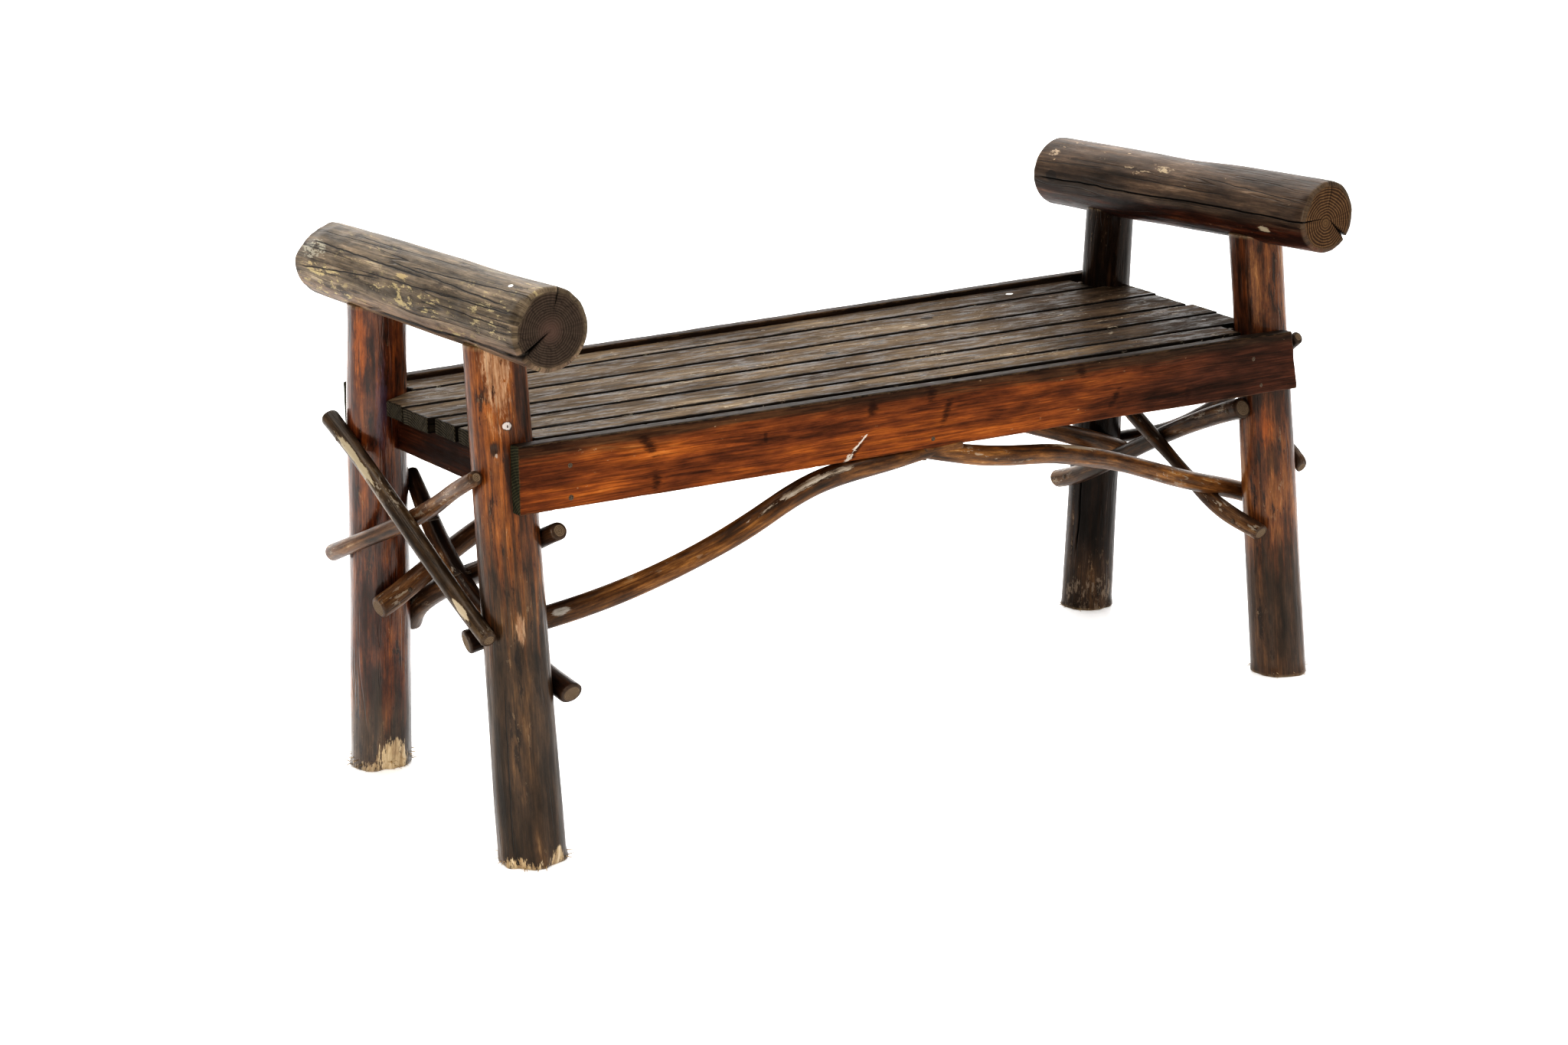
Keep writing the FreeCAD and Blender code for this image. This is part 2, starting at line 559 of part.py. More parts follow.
# Arch branches: from a leg, up along a curve, to the underside of the apron's middle.
# A row is a share of the chord, a rise share, a sideways share and a girth share.
# The tip under the apron is tapered.
arch_tip_share = 0.65
arch_shares = {
    "front_left": [(0, 0, 0, 1), (0.15, -0.019, 0.019, 1), (0.3, -0.026, 0.02, 1.02), (0.43, -0.01, 0, 1.03),
                   (0.57, 0.025, -0.024, 1.09), (0.69, 0.052, -0.034, 1.08), (0.78, 0.0445, -0.028, 1.07),
                   (0.87, 0.028, -0.018, 0.8), (1, 0, 0, arch_tip_share)],
    "front_right": [(0, 0, 0, arch_tip_share), (0.08, 0.0135, -0.01, 0.89), (0.14, 0.015, -0.016, 1),
                    (0.27, 0.0265, -0.023, 1.02), (0.45, 0.036, -0.005, 1), (0.635, 0.028, 0.019, 1),
                    (0.82, 0.0115, 0.02, 1), (0.91, 0.007, 0.012, 1), (1, 0, 0, 1)],
    "back_left": [(0, 0, 0, 1), (0.1, 0.022, -0.011, 1), (0.2, 0.046, -0.022, 1), (0.4, 0.066, -0.035, 1),
                  (0.6, 0.065, -0.03, 1), (0.78, 0.0455, -0.02, 0.97), (0.87, 0.029, -0.012, 0.75),
                  (1, 0, 0, arch_tip_share)],
    "back_right": [(0, 0, 0, arch_tip_share), (0.08, 0.0125, -0.006, 0.89), (0.14, 0.019, -0.01, 1),
                   (0.3, 0.031, -0.025, 1), (0.5, 0.037, -0.035, 1), (0.7, 0.029, -0.032, 1),
                   (0.84, 0.018, -0.016, 1), (1, 0, 0, 1)],
}
arch_poles = {}
for leg, rows in arch_shares.items():
    name = leg + "_arch"
    side, end = legs[leg]
    root_radius = "arch_left_root_radius" if side < 0 else "arch_right_root_radius"
    height = name + "_height"
    offset = f"({leg_radius(leg, height)} + {root_radius} - branch_seat)"
    root = [f"({leg_x(leg, height)} + {side} * {name}_reach)",
            f"({leg_y(leg, height)} - {end} * {offset})", height]
    crown_x = f"(scarf_middle - {side} * scarf_length / 2)"
    crown = [crown_x, f"({end} * arch_line)",
             f"({apron_bottom} + {end} * half_depth * {seat_slope(crown_x)}"
             f" - arch_crown_radius * {arch_tip_share} + branch_seat)"]
    bend_shares = [(share, rise_share, f"{name}_length * ({side_share})", girth_share)
                   for share, rise_share, side_share, girth_share in rows]
    ends = [root, crown] if side < 0 else [crown, root]
    radii = (root_radius, "arch_crown_radius") if side < 0 else ("arch_crown_radius", root_radius)
    arch_poles[leg] = branch(name, ends[0], ends[1], radii, bend_shares)
    share = 0.06 if side < 0 else 0.965
    arch_nails.append(branch_nail(name, arch_poles[leg], bend_shares, share, -end, radii, "branch_nail_bite"))


# The slanting joint of two arch branches: one wedge below its plane and one above it
def scarf(name, end, above):
    box = add("Part::Box", name)
    crown = (f"({apron_bottom} + {end} * half_depth * {seat_slope('scarf_middle')}"
             f" - arch_crown_radius * {arch_tip_share})")
    turn = f"rotation(vector(0; 1; 0); -atan(2 * arch_crown_radius * {arch_tip_share} / scarf_length))"
    corner = shift("-scarf_length", "-cut_overrun", 0 if above else "-2 * cut_overrun")
    bind(box, Length="2 * scarf_length", Width="2 * cut_overrun", Height="2 * cut_overrun",
         Placement=shift("scarf_middle", f"{end} * arch_line", crown, turn) + " * " + corner)
    return box


crown_nail_shares = {"front_left": 1.3, "front_right": 1.72, "back_left": 1.3, "back_right": 1.38}
for end, place in ((-1, "front"), (1, "back")):
    for side, sign in (("left", -1), ("right", 1)):
        x = f"(scarf_middle + {sign} * crown_nail_{side})"
        z = (f"({apron_bottom} + {end} * half_depth * {seat_slope(x)}"
             f" - arch_crown_radius * {crown_nail_shares[place + '_' + side]} - nail_head_proud)")
        arch_nails.append(nail(f"{place}_{side}_crown_nail", "2 * arch_crown_radius + branch_nail_bite",
                               shift(x, f"{end} * arch_line", z)))


# Seat nails: one through each slat over each bearer, a little off the slat's middle
slat_nails = []
nail_stagger_shares = [0.1, -0.11, 0.08, -0.12, 0.09, 0.07]
for place in ("left", "middle", "right"):
    for name, stagger_share in zip(slat_names, nail_stagger_shares):
        y = f"({slat_lines[name]} + slat_{name}_width * ({stagger_share}))"
        x = f"({place}_bearer_x + bearer_width * ({stagger_share}))"
        z = f"(seat_top + {y} * {seat_slope(x)} + nail_head_proud)"
        slat_nails.append(nail(f"{place}_{name}_nail", "slat_nail_length",
                               shift(x, y, z, "rotation(vector(1; 0; 0); 180)")))

# Apron nails: into the ends of the bearers, two at each end and one in the middle
apron_nails = []
for end, place in ((-1, "front"), (1, "back")):
    rows = [("(-leg_span / 2 + apron_nail_inset)", "apron_nail_high"),
            ("(-leg_span / 2 + apron_nail_inset)", "apron_nail_low"),
            ("middle_bearer_x", "apron_nail_low"),
            ("(leg_span / 2 - apron_nail_inset)", "apron_nail_high"),
            ("(leg_span / 2 - apron_nail_inset + apron_nail_step)", "apron_nail_low")]
    for step, (x, below) in enumerate(rows):
        z = f"({apron_top} + {end} * half_depth * {seat_slope(x)} - {below})"
        y = f"({end} * (half_depth + nail_head_proud))"
        apron_nails.append(nail(f"{place}_apron_nail_{step}", "apron_nail_length",
                                shift(x, y, z, f"rotation(vector(1; 0; 0); {90 * end})")))

# Bearer nails: from an end bearer's inner face into each leg
bearer_nails = []
for leg, (side, end) in legs.items():
    place = "left" if side < 0 else "right"
    x = f"({place}_bearer_x - {side} * (bearer_width / 2 + nail_head_proud))"
    height = "(seat_top - slat_thickness - bearer_height / 2)"
    y = leg_y(leg, height)
    z = f"({height} + {y} * {seat_slope(place + '_bearer_x')})"
    bearer_nails.append(nail(f"{leg}_bearer_nail", "bearer_nail_length",
                             shift(x, y, z, f"rotation(vector(0; 1; 0); {90 * side})")))

slat_nail_group = group(slat_nails, "slat_nails")
apron_nail_group = group(apron_nails, "apron_nails")
bearer_nail_group = group(bearer_nails, "bearer_nails")
brace_nail_group = group(brace_nails, "brace_nails")
arch_nail_group = group(arch_nails, "arch_nails")
doc.recompute()

# The floor cuts every foot level
floor = add("Part::Box", "floor_cut")
bind(floor, Length="2 * leg_span", Width="2 * leg_span", Height="2 * cut_overrun",
     Placement=shift("-leg_span", "-leg_span", "-2 * cut_overrun"))

# Finished pieces: each rough piece less what it is let into and what goes through it
parts = [arm_dowels, slat_nail_group, apron_nail_group, bearer_nail_group, brace_nail_group, arch_nail_group]
for leg, (side, end) in legs.items():
    board = front_board if end < 0 else back_board
    tools = [floor, board, arm_dowels, bearer_nail_group, brace_nail_group, arch_nail_group]
    parts.append(carve(leg_cones[leg], tools, "leg_" + leg))
parts.append(carve(front_board, [apron_nail_group, arch_nail_group], "apron_front"))
parts.append(carve(back_board, [apron_nail_group, arch_nail_group], "apron_back"))
leg_pairs = {end: group([leg_cones[end + "_left"], leg_cones[end + "_right"]], end + "_leg_logs")
             for end in ("front", "back")}
side_pairs = {side: group([leg_cones["front_" + side], leg_cones["back_" + side]], side + "_leg_logs")
              for side in ("left", "right")}
for side, log in arm_logs.items():
    parts.append(carve(log, [side_pairs[side], arm_dowels], "arm_" + side))
for name, board in slat_boards.items():
    tools = [slat_nail_group]
    if name == "second":
        tools = [leg_pairs["back"], slat_nail_group]
    if name == "fifth":
        tools = [leg_pairs["front"], slat_nail_group]
    parts.append(carve(board, tools, "slat_" + name))
for place, batten in bearer_battens.items():
    tools = [both_boards, slat_nail_group, apron_nail_group, bearer_nail_group]
    if place != "middle":
        tools.insert(1, side_pairs[place])
    parts.append(carve(batten, tools, "bearer_" + place))
brace_tools = {
    "left_outer_rising": [brace_poles["left_outer_falling"]],
    "left_inner_rising": [brace_poles["left_inner_falling"], arch_poles["back_left"]],
    "right_inner_rising": [brace_poles["right_inner_falling"]],
    "right_inner_falling": [arch_poles["front_right"], bearer_battens["right"]],
    "right_outer_falling": [brace_poles["right_outer_rising"]],
}
for name, pole in brace_poles.items():
    tools = [side_pairs[brace_side(name)[0]]] + brace_tools.get(name, []) + [brace_nail_group]
    parts.append(carve(pole, tools, "brace_" + name))
for leg, (side, end) in legs.items():
    place = "front" if end < 0 else "back"
    board = front_board if end < 0 else back_board
    wedge = scarf(f"{leg}_scarf", end, above=side > 0)
    tools = [leg_cones[leg], board, wedge, arch_nail_group]
    if leg == "back_right":
        tools.insert(0, brace_poles["right_inner_rising"])
    parts.append(carve(arch_poles[leg], tools, "arch_" + leg))
doc.recompute()

failed = [item.Name for item in doc.Objects if "Invalid" in item.State or "Error" in item.State]
assert not failed, f"objects in error: {failed}"
for item in parts:
    assert not item.Shape.isNull() and item.Shape.isValid(), item.Label
os.makedirs("parts", exist_ok=True)
for item in parts:
    item.Shape.exportStep(f"parts/{item.Label}.step")
    print(item.Label, len(item.Shape.Solids), round(item.Shape.Volume))
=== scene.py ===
import math
import bpy
import numpy as np
from mathutils import Matrix, Vector


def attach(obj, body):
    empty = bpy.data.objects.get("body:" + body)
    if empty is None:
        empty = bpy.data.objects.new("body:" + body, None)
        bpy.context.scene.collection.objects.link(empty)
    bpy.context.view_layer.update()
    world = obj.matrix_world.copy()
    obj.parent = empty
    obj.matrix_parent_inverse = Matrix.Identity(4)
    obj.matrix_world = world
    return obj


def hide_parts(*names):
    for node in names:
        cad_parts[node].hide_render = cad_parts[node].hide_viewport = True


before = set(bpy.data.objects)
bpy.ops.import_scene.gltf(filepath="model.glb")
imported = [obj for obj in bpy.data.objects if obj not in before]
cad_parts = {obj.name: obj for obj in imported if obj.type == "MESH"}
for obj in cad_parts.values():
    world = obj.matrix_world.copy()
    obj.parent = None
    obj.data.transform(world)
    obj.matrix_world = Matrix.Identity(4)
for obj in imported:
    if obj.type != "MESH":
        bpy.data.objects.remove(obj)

for name in ("Cube", "Light", "Camera"):
    if name in bpy.data.objects:
        bpy.data.objects.remove(bpy.data.objects[name])
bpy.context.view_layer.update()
print("frame loaded:", len(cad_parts), "nodes")

# The view, the light and the floor
view = {"place": (-1.7846, -2.5501, 1.1033), "turn": 33.74, "tilt": 15.46, "roll": 0.59, "lens": 62.5,
        "sensor": 36, "farthest": 60}
lights = {
    "top": {"place": (0.2, 0.5, 4.0), "size": 5.0, "power": 190, "colour": (1.0, 1.0, 1.0)},
    "key": {"place": (-3.4, -2.0, 2.3), "size": 1.5, "power": 66, "colour": (1.0, 0.96, 0.9)},
    "fill": {"place": (1.5, -4.0, 1.6), "size": 2.5, "power": 30, "colour": (0.96, 0.98, 1.0)},
}
aimedAt = Vector((0, 0, 0.3))
surround = {"colour": (1.0, 0.97, 0.94), "strength": 0.26}
backdrop = {"away": 7.0, "width": 26.0, "height": 9.0, "sunk": 0.5, "glow": 1.15,
            "ringAway": 5.2, "ringSides": 64}
floorLook = {"size": 40.0, "colour": (0.88, 0.88, 0.88), "roughness": 0.32, "glow": 0.25}


def tone(red, green, blue):
    # a screen colour, 0 to 255, as the linear colour that shaders read
    shares = (red / 255, green / 255, blue / 255)
    return (*(c / 12.92 if c <= 0.04045 else ((c + 0.055) / 1.055) ** 2.4 for c in shares), 1.0)


# Smooth random values in space, the same on every run
latticeSize = 64
lattice = np.random.default_rng(7).random((latticeSize,) * 3) * 2 - 1


def drift(points, scale, seed):
    p = np.asarray(points, float) * np.asarray(scale, float) + seed * np.array([7.13, 3.71, 5.37])
    cell = np.floor(p).astype(int)
    t = p - cell
    t = t * t * (3 - 2 * t)
    total = np.zeros(p.shape[:-1])
    for corner in range(8):
        step = np.array([corner & 1, corner >> 1 & 1, corner >> 2 & 1])
        weight = np.prod(np.where(step == 1, t, 1 - t), axis=-1)
        ids = (cell + step) % latticeSize
        total += weight * lattice[ids[..., 0], ids[..., 1], ids[..., 2]]
    return total


def smoothStep(x, low, high):
    t = np.clip((x - low) / (high - low), 0, 1)
    return t * t * (3 - 2 * t)


# Shapes read from the frame

def nodeTriangles(name):
    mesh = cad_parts[name].data
    mesh.calc_loop_triangles()
    points = np.empty(len(mesh.vertices) * 3)
    mesh.vertices.foreach_get("co", points)
    corners = np.empty(len(mesh.loop_triangles) * 3, np.int32)
    mesh.loop_triangles.foreach_get("vertices", corners)
    return points.reshape(-1, 3)[corners].reshape(-1, 3, 3)


def slicePoints(triangles, origin, axis):
    # where a plane cuts the triangles' edges
    height = (triangles - origin) @ axis
    found = []
    for a, b in ((0, 1), (1, 2), (2, 0)):
        crossing = height[:, a] * height[:, b] < 0
        ha, hb = height[crossing, a], height[crossing, b]
        share = (ha / (ha - hb))[:, None]
        found.append(triangles[crossing, a] * (1 - share) + triangles[crossing, b] * share)
    return np.concatenate(found)


def sideAxes(axis):
    # angle 0 of a log faces -X; 90 degrees is up on an arm log, and to the front on a leg
    up = np.array([0.0, 0.0, 1.0]) if abs(axis[2]) < 0.9 else np.array([0.0, -1.0, 0.0])
    side = np.cross(up, axis)
    side /= np.linalg.norm(side)
    return side, np.cross(axis, side)


# How a round piece is read: slices this far apart, and how sure a fitted circle has to be
reading = {"step": 0.006, "margin": 0.0015, "points": 12, "fit": 0.55, "bins": 48, "passes": 12,
           "near": 0.0004}


def fitCircle(points, axis, origin):
    # centre and radius of a slice's outermost points, and how nearly they make a whole round
    side, up = sideAxes(axis)
    u, v = (points - origin) @ side, (points - origin) @ up
    cu, cv = (u.min() + u.max()) / 2, (v.min() + v.max()) / 2
    angle = np.arctan2(v - cv, u - cu)
    reach = np.hypot(u - cu, v - cv)
    bins = ((angle + math.pi) / (2 * math.pi) * (reading["bins"] - 0.01)).astype(int)
    outer = [np.flatnonzero(bins == i)[np.argmax(reach[bins == i])] for i in np.unique(bins)]
    u, v = u[outer], v[outer]
    weight = np.ones(len(u))
    for _ in range(reading["passes"]):
        table = np.stack([u, v, np.ones_like(u)], 1) * weight[:, None]
        a, b, c = np.linalg.lstsq(table, (u * u + v * v) * weight, rcond=None)[0]
        radius = math.sqrt(max(c + a * a / 4 + b * b / 4, 1e-12))
        miss = np.abs(np.hypot(u - a / 2, v - b / 2) - radius)
        weight = 1 / np.sqrt(miss + 0.00005)
    fitted = (miss < reading["near"]).mean() * len(np.unique(bins)) / reading["bins"]
    return origin + side * a / 2 + up * b / 2, radius, fitted


def chordOf(triangles, middle):
    # the way from end to end: a cut end is flat and square to it
    points = triangles.reshape(-1, 3)
    axis = np.linalg.svd(points - middle, full_matrices=False)[2][0]
    normals = np.cross(triangles[:, 1] - triangles[:, 0], triangles[:, 2] - triangles[:, 0])
    area = np.linalg.norm(normals, axis=1)
    normals /= np.maximum(area, 1e-15)[:, None]
    best = np.zeros(3)
    for end in (-1, 1):
        reach = ((triangles - middle) @ axis * end).min(1)
        near = (normals @ axis * end > 0.85) & (reach > 0.9 * reach.max())
        total = (normals[near] * area[near, None]).sum(0) * end
        if np.linalg.norm(total) > np.linalg.norm(best):
            best = total
    return best / np.linalg.norm(best)


def extend(places, known, values):
    result = np.interp(places, known, values)
    for first, second, beyond in ((0, 3, places < known[0]), (-1, -4, places > known[-1])):
        slope = (values[second] - values[first]) / (known[second] - known[first])
        result[beyond] = values[first] + slope * (places[beyond] - known[first])
    return result


def readLog(name, axis=None):
    # centre line and radii of a round piece, from slices square to its chord
    triangles = nodeTriangles(name)
    points = triangles.reshape(-1, 3)
    middle = (points.min(0) + points.max(0)) / 2
    axis = chordOf(triangles, middle) if axis is None else np.array(axis, float)
    reach = (points - middle) @ axis
    low, high = reach.min(), reach.max()
    places = np.linspace(low, high, max(8, int((high - low) / reading["step"])))
    rows = []
    for place in np.clip(places, low + reading["margin"], high - reading["margin"]):
        cut = slicePoints(triangles, middle + axis * place, axis)
        if len(cut) >= reading["points"]:
            centre, radius, fitted = fitCircle(cut, axis, middle + axis * place)
            if fitted > reading["fit"]:
                rows.append((place, *centre, radius))
    rows = np.array(rows)
    line = np.stack([extend(places, rows[:, 0], rows[:, i]) for i in range(1, 5)], 1)
    line[:, 3] = np.maximum(line[:, 3], 0.55 * np.median(line[:, 3]))
    smooth = line.copy()
    smooth[2:-2] = (line[:-4] + line[1:-3] + line[2:-2] + line[3:-1] + line[4:]) / 5
    return places - low, smooth[:, :3], smooth[:, 3], axis


# Finished pieces

def camel(node):
    first, *others = node.split("_")
    return first + "".join(word.title() for word in others)


def keepPiece(name, mesh, node):
    piece = bpy.data.objects.new(name, mesh)
    bpy.context.scene.collection.objects.link(piece)
    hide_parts(node)
    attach(piece, "root")


def storeValues(mesh, name, values):
    kind = "FLOAT_VECTOR" if values.ndim == 2 else "FLOAT"
    attribute = mesh.attributes.new(name, kind, "POINT")
    attribute.data.foreach_set("vector" if values.ndim == 2 else "value", values.astype(np.float32).ravel())


# Columns of points across a crack, in half widths from its middle, and how far it wanders
crackColumns = np.array([-2.6, -1.6, -1, -0.5, 0, 0.5, 1, 1.6, 2.6])
crackSway = 0.0015
# How often each relief of a log repeats in a metre, along it and across
logNoise = {"lump": (9, 20, 20), "ridge": (7, 150, 150), "hair": (22, 330, 330), "fray": (60, 90, 90),
            "saw": (1, 260, 260), "hollow": (1, 40, 40)}
# Reach of a worn edge, of a frayed foot and of a crack's fading end
edgeReach = {"rim": 0.005, "foot": 0.016, "fadeOut": 0.02, "fadeIn": 0.005, "openEnd": 0.03}


def wrap(angle):
    return (angle + math.pi) % (2 * math.pi) - math.pi


def logColumns(look, s, mean):
    # angles of the points round a log, closer together at each crack
    base = np.arange(0, 2 * math.pi, look["step"] * 0.95 / mean)
    cracks = look.get("cracks", [])
    for crack in cracks:
        middle = math.radians(crack["angle"]) % (2 * math.pi)
        half = crack["width"] / mean / 2
        base = base[np.abs(wrap(base - middle)) > 3 * half]
        base = np.concatenate([base, (middle + half * crackColumns) % (2 * math.pi)])
    base = np.sort(base)
    angle = np.repeat(base[None, :], len(s), 0)
    for number, crack in enumerate(cracks):
        line = np.stack([s, np.full_like(s, number * 3.1), np.zeros_like(s)], 1)
        sway = drift(line, (16, 1, 1), look["seed"]) + 0.5 * drift(line, (60, 1, 1), look["seed"] + 1)
        near = np.exp(-(wrap(base - math.radians(crack["angle"])) / 0.3) ** 2)
        angle += (sway * crackSway / mean)[:, None] * near[None, :]
    return base, angle


def crackOffset(crack, base, mean):
    # distance from a crack's middle in half widths
    return np.abs(wrap(base - math.radians(crack["angle"]))) * mean / (crack["width"] / 2)


def logRelief(look, grain, s, base, angle, mean):
    # height of the skin over the plain round, and how far each point is in a crack
    seed, length = look["seed"], s[-1]
    relief = look["lump"] * drift(grain, logNoise["lump"], seed)
    relief += look["ridge"] * drift(grain, logNoise["ridge"], seed + 2)
    relief += look["ridge"] * 0.5 * drift(grain, logNoise["hair"], seed + 3)
    for knot in look.get("knots", []):
        around = wrap(angle - math.radians(knot["angle"])) * mean
        far = np.hypot((s - knot["at"])[:, None], around) / knot["size"]
        relief += knot["height"] * (np.exp(-far ** 2 * 1.6) - 0.9 * np.exp(-(far * 2.6) ** 2))
    for chip in look.get("chips", []):
        fromEnd = s if chip["end"] == 0 else length - s
        around = np.cos(wrap(angle - math.radians(chip["angle"])))
        across = smoothStep(around, math.cos(math.radians(chip["spread"])), 1)
        relief -= chip["depth"] * across * smoothStep(1 - fromEnd / chip["length"], 0, 1)[:, None]
    split = np.zeros_like(relief)
    for crack in look.get("cracks", []):
        offset = crackOffset(crack, base, mean)
        first, last = crack["start"] * length, crack["end"] * length
        taper = smoothStep(s, first - edgeReach["fadeOut"], first + edgeReach["fadeIn"])
        taper *= 1 - smoothStep(s, last - edgeReach["fadeIn"], last + edgeReach["fadeOut"])
        if crack["start"] <= 0:
            taper[s < edgeReach["openEnd"]] = 1
        if crack["end"] >= 1:
            taper[s > length - edgeReach["openEnd"]] = 1
        groove = np.clip(1 - offset, 0, 1)[None, :] * taper[:, None]
        relief -= crack["depth"] * groove ** 0.8
        split = np.maximum(split, np.clip(1.5 - offset, 0, 1)[None, :] * taper[:, None])
    # a frayed foot flares a little and has chips out of its edge
    if "fray" in look:
        low = 1 - smoothStep(s, 0, edgeReach["foot"])
        relief += look["fray"] * low[:, None] * (0.4 + 1.3 * drift(grain, logNoise["fray"], seed + 5))
    return relief, split


def cutFace(look, cracks, rim, place, shares, base, mean):
    # rings that shrink to the middle of an end, how deep each point is sunk and where a crack is open
    seed = look["seed"]
    reach = shares[:, None, None] * rim[None]
    grain = np.concatenate([np.full((*reach.shape[:2], 1), place), reach], -1)
    sunk = look["saw"] * drift(grain + 0.3, logNoise["saw"], seed + 8)
    sunk += look["saw"] * 2 * drift(grain, logNoise["hollow"], seed + 9)
    gape = np.zeros(reach.shape[:2])
    for crack in cracks:
        if "faceStart" in crack:
            offset = crackOffset(crack, base, mean)
            along = smoothStep(shares, crack["faceStart"], crack["faceStart"] + 0.12)[:, None]
            sunk -= crack["faceDepth"] * np.clip(1 - offset, 0, 1)[None, :] ** 0.7 * along
            gape = np.maximum(gape, np.clip(1.4 - offset, 0, 1)[None, :] * along)
    return reach, grain, sunk, gape


def logFaces(columns, sideRows, faceRows):
    # quads between the rows of points, and a fan of triangles at the middle of both ends
    nextColumn = np.roll(np.arange(columns), -1)
    quads = []

    def addStrip(outer, inner, turned):
        a, b = outer + np.arange(columns), outer + nextColumn
        c, d = inner + nextColumn, inner + np.arange(columns)
        quads.append(np.stack([a, d, c, b] if turned else [a, b, c, d], 1))

    for row in range(sideRows - 1):
        addStrip(row * columns, (row + 1) * columns, False)
    rings = [sideRows * columns, (sideRows + faceRows) * columns]
    for face, outer in ((0, 0), (1, (sideRows - 1) * columns)):
        addStrip(outer, rings[face], face == 0)
        for row in range(faceRows - 1):
            addStrip(rings[face] + row * columns, rings[face] + (row + 1) * columns, face == 0)
    faces = np.concatenate(quads).tolist()
    hub = (sideRows + 2 * faceRows) * columns
    for face in (0, 1):
        last = rings[face] + (faceRows - 1) * columns
        for i in range(columns):
            pair = (last + i, last + int(nextColumn[i]))
            faces.append([*(pair if face else pair[::-1]), hub + face])
    return faces


def buildLog(name, node, look, material, axis=None):
    # a peeled log or branch: rings along its centre line and a dense cut face at both ends
    places, centres, radii, way = readLog(node, axis)
    side, up = sideAxes(way)
    length = places[-1]
    ends = np.array([0, 0.15, 0.4, 0.75, 1.0]) * look["endRound"]
    first, last = look["endRound"] + look["step"], length - look["endRound"] - look["step"] / 2
    s = np.concatenate([ends, np.arange(first, last, look["step"]), length - ends[::-1]])
    centre = np.stack([np.interp(s, places, centres[:, i]) for i in range(3)], 1)
    radius = np.interp(s, places, radii)
    mean = radius.mean()
    base, angle = logColumns(look, s, mean)
    ring = np.stack([np.cos(angle), np.sin(angle)], -1)
    grain = np.concatenate([np.repeat(s[:, None, None], len(base), 1), ring * radius[:, None, None]], -1)
    relief, split = logRelief(look, grain, s, base, angle, mean)

    fromEnd = np.minimum(s, length - s)
    inner = np.clip(look["endRound"] - fromEnd, 0, None)
    inset = look["endRound"] - np.sqrt(np.clip(look["endRound"] ** 2 - inner ** 2, 0, None))
    flat = ring * (radius[:, None] + relief - inset[:, None])[..., None]
    points = centre[:, None, :] + flat[..., :1] * side + flat[..., 1:] * up
    rim = (1 - smoothStep(fromEnd, 0, edgeReach["rim"]))[:, None] * np.ones_like(relief)
    stacks = [(points, grain, rim, split, np.zeros_like(relief))]
    shares = np.linspace(1, 0, look["faceRings"] + 1)[1:-1]
    for row, outward, cracks in ((0, -1, look.get("cracks", [])), (-1, 1, [])):
        reach, grain, sunk, gape = cutFace(look, cracks, flat[row], s[row], shares, base, mean)
        points = centre[row] + reach[..., :1] * side + reach[..., 1:] * up + (sunk * outward)[..., None] * way
        rim = np.repeat(smoothStep(shares, 0.86, 1.0)[:, None], len(base), 1)
        stacks.append((points, grain, rim, gape, np.ones(reach.shape[:2])))

    # the last two points are the middles of both ends
    points, grain = (np.concatenate([stack[i].reshape(-1, 3) for stack in stacks]) for i in (0, 1))
    mesh = bpy.data.meshes.new(name)
    points = np.concatenate([points, centre[[0, -1]]])
    mesh.from_pydata(points.tolist(), [], logFaces(len(base), len(s), len(shares)))
    storeValues(mesh, "grain", np.concatenate([grain, [[s[0], 0, 0], [s[-1], 0, 0]]]))
    for label, index, middle in (("rim", 2, 0), ("crack", 3, 0), ("cut", 4, 1)):
        values = [stack[index].ravel() for stack in stacks]
        storeValues(mesh, label, np.concatenate([*values, [middle, middle]]))
    mesh.shade_smooth()
    if mesh.validate():
        print("mended", name)
    if way @ np.cross(side, up) < 0:
        mesh.flip_normals()
    mesh.materials.append(material)
    if "fibres" in look:
        mesh = grown(footFibres, name, mesh=mesh, Seed=look["seed"], Material=material, **look["fibres"])
    print(f"  {name}: {len(mesh.polygons)} faces")
    keepPiece(name, mesh, node)


# Node trees

def addNode(tree, kind, inputs=None, **settings):
    node = tree.nodes.new(kind)
    for key, value in settings.items():
        setattr(node, key, value)
    for key, value in (inputs or {}).items():
        if isinstance(value, bpy.types.NodeSocket):
            tree.links.new(value, node.inputs[key])
        else:
            node.inputs[key].default_value = value
    return node


def made(values, kind, inputs, **settings):
    # the first output of a new node, in the tree that the values come from
    tree = next(value.id_data for value in values if isinstance(value, bpy.types.NodeSocket))
    return addNode(tree, kind, inputs, **settings).outputs[0]


def calc(operation, *values):
    return made(values, "ShaderNodeMath", dict(enumerate(values)), operation=operation)


def plus(first, second):
    return calc("ADD", first, second)


def less(first, second):
    return calc("SUBTRACT", first, second)


def times(first, second):
    return calc("MULTIPLY", first, second)


def timesPlus(first, second, third):
    return calc("MULTIPLY_ADD", first, second, third)


def vectorCalc(operation, *values):
    result = made(values, "ShaderNodeVectorMath", dict(enumerate(values)), operation=operation)
    return result.node.outputs["Value"] if operation == "LENGTH" else result


def scaled(vector, factor):
    return made([vector], "ShaderNodeVectorMath", {0: vector, "Scale": factor}, operation="SCALE")


def joined(x, y, z):
    return made((x, y, z), "ShaderNodeCombineXYZ", {0: x, 1: y, 2: z})


def parted(vector):
    return made([vector], "ShaderNodeSeparateXYZ", {0: vector}).node.outputs


def mapped(value, low, high, newLow=0.0, newHigh=1.0, smooth=True):
    # value from low..high carried to newLow..newHigh, never beyond them
    return made([value], "ShaderNodeMapRange", {0: value, 1: low, 2: high, 3: newLow, 4: newHigh},
                interpolation_type="SMOOTHSTEP" if smooth else "LINEAR")


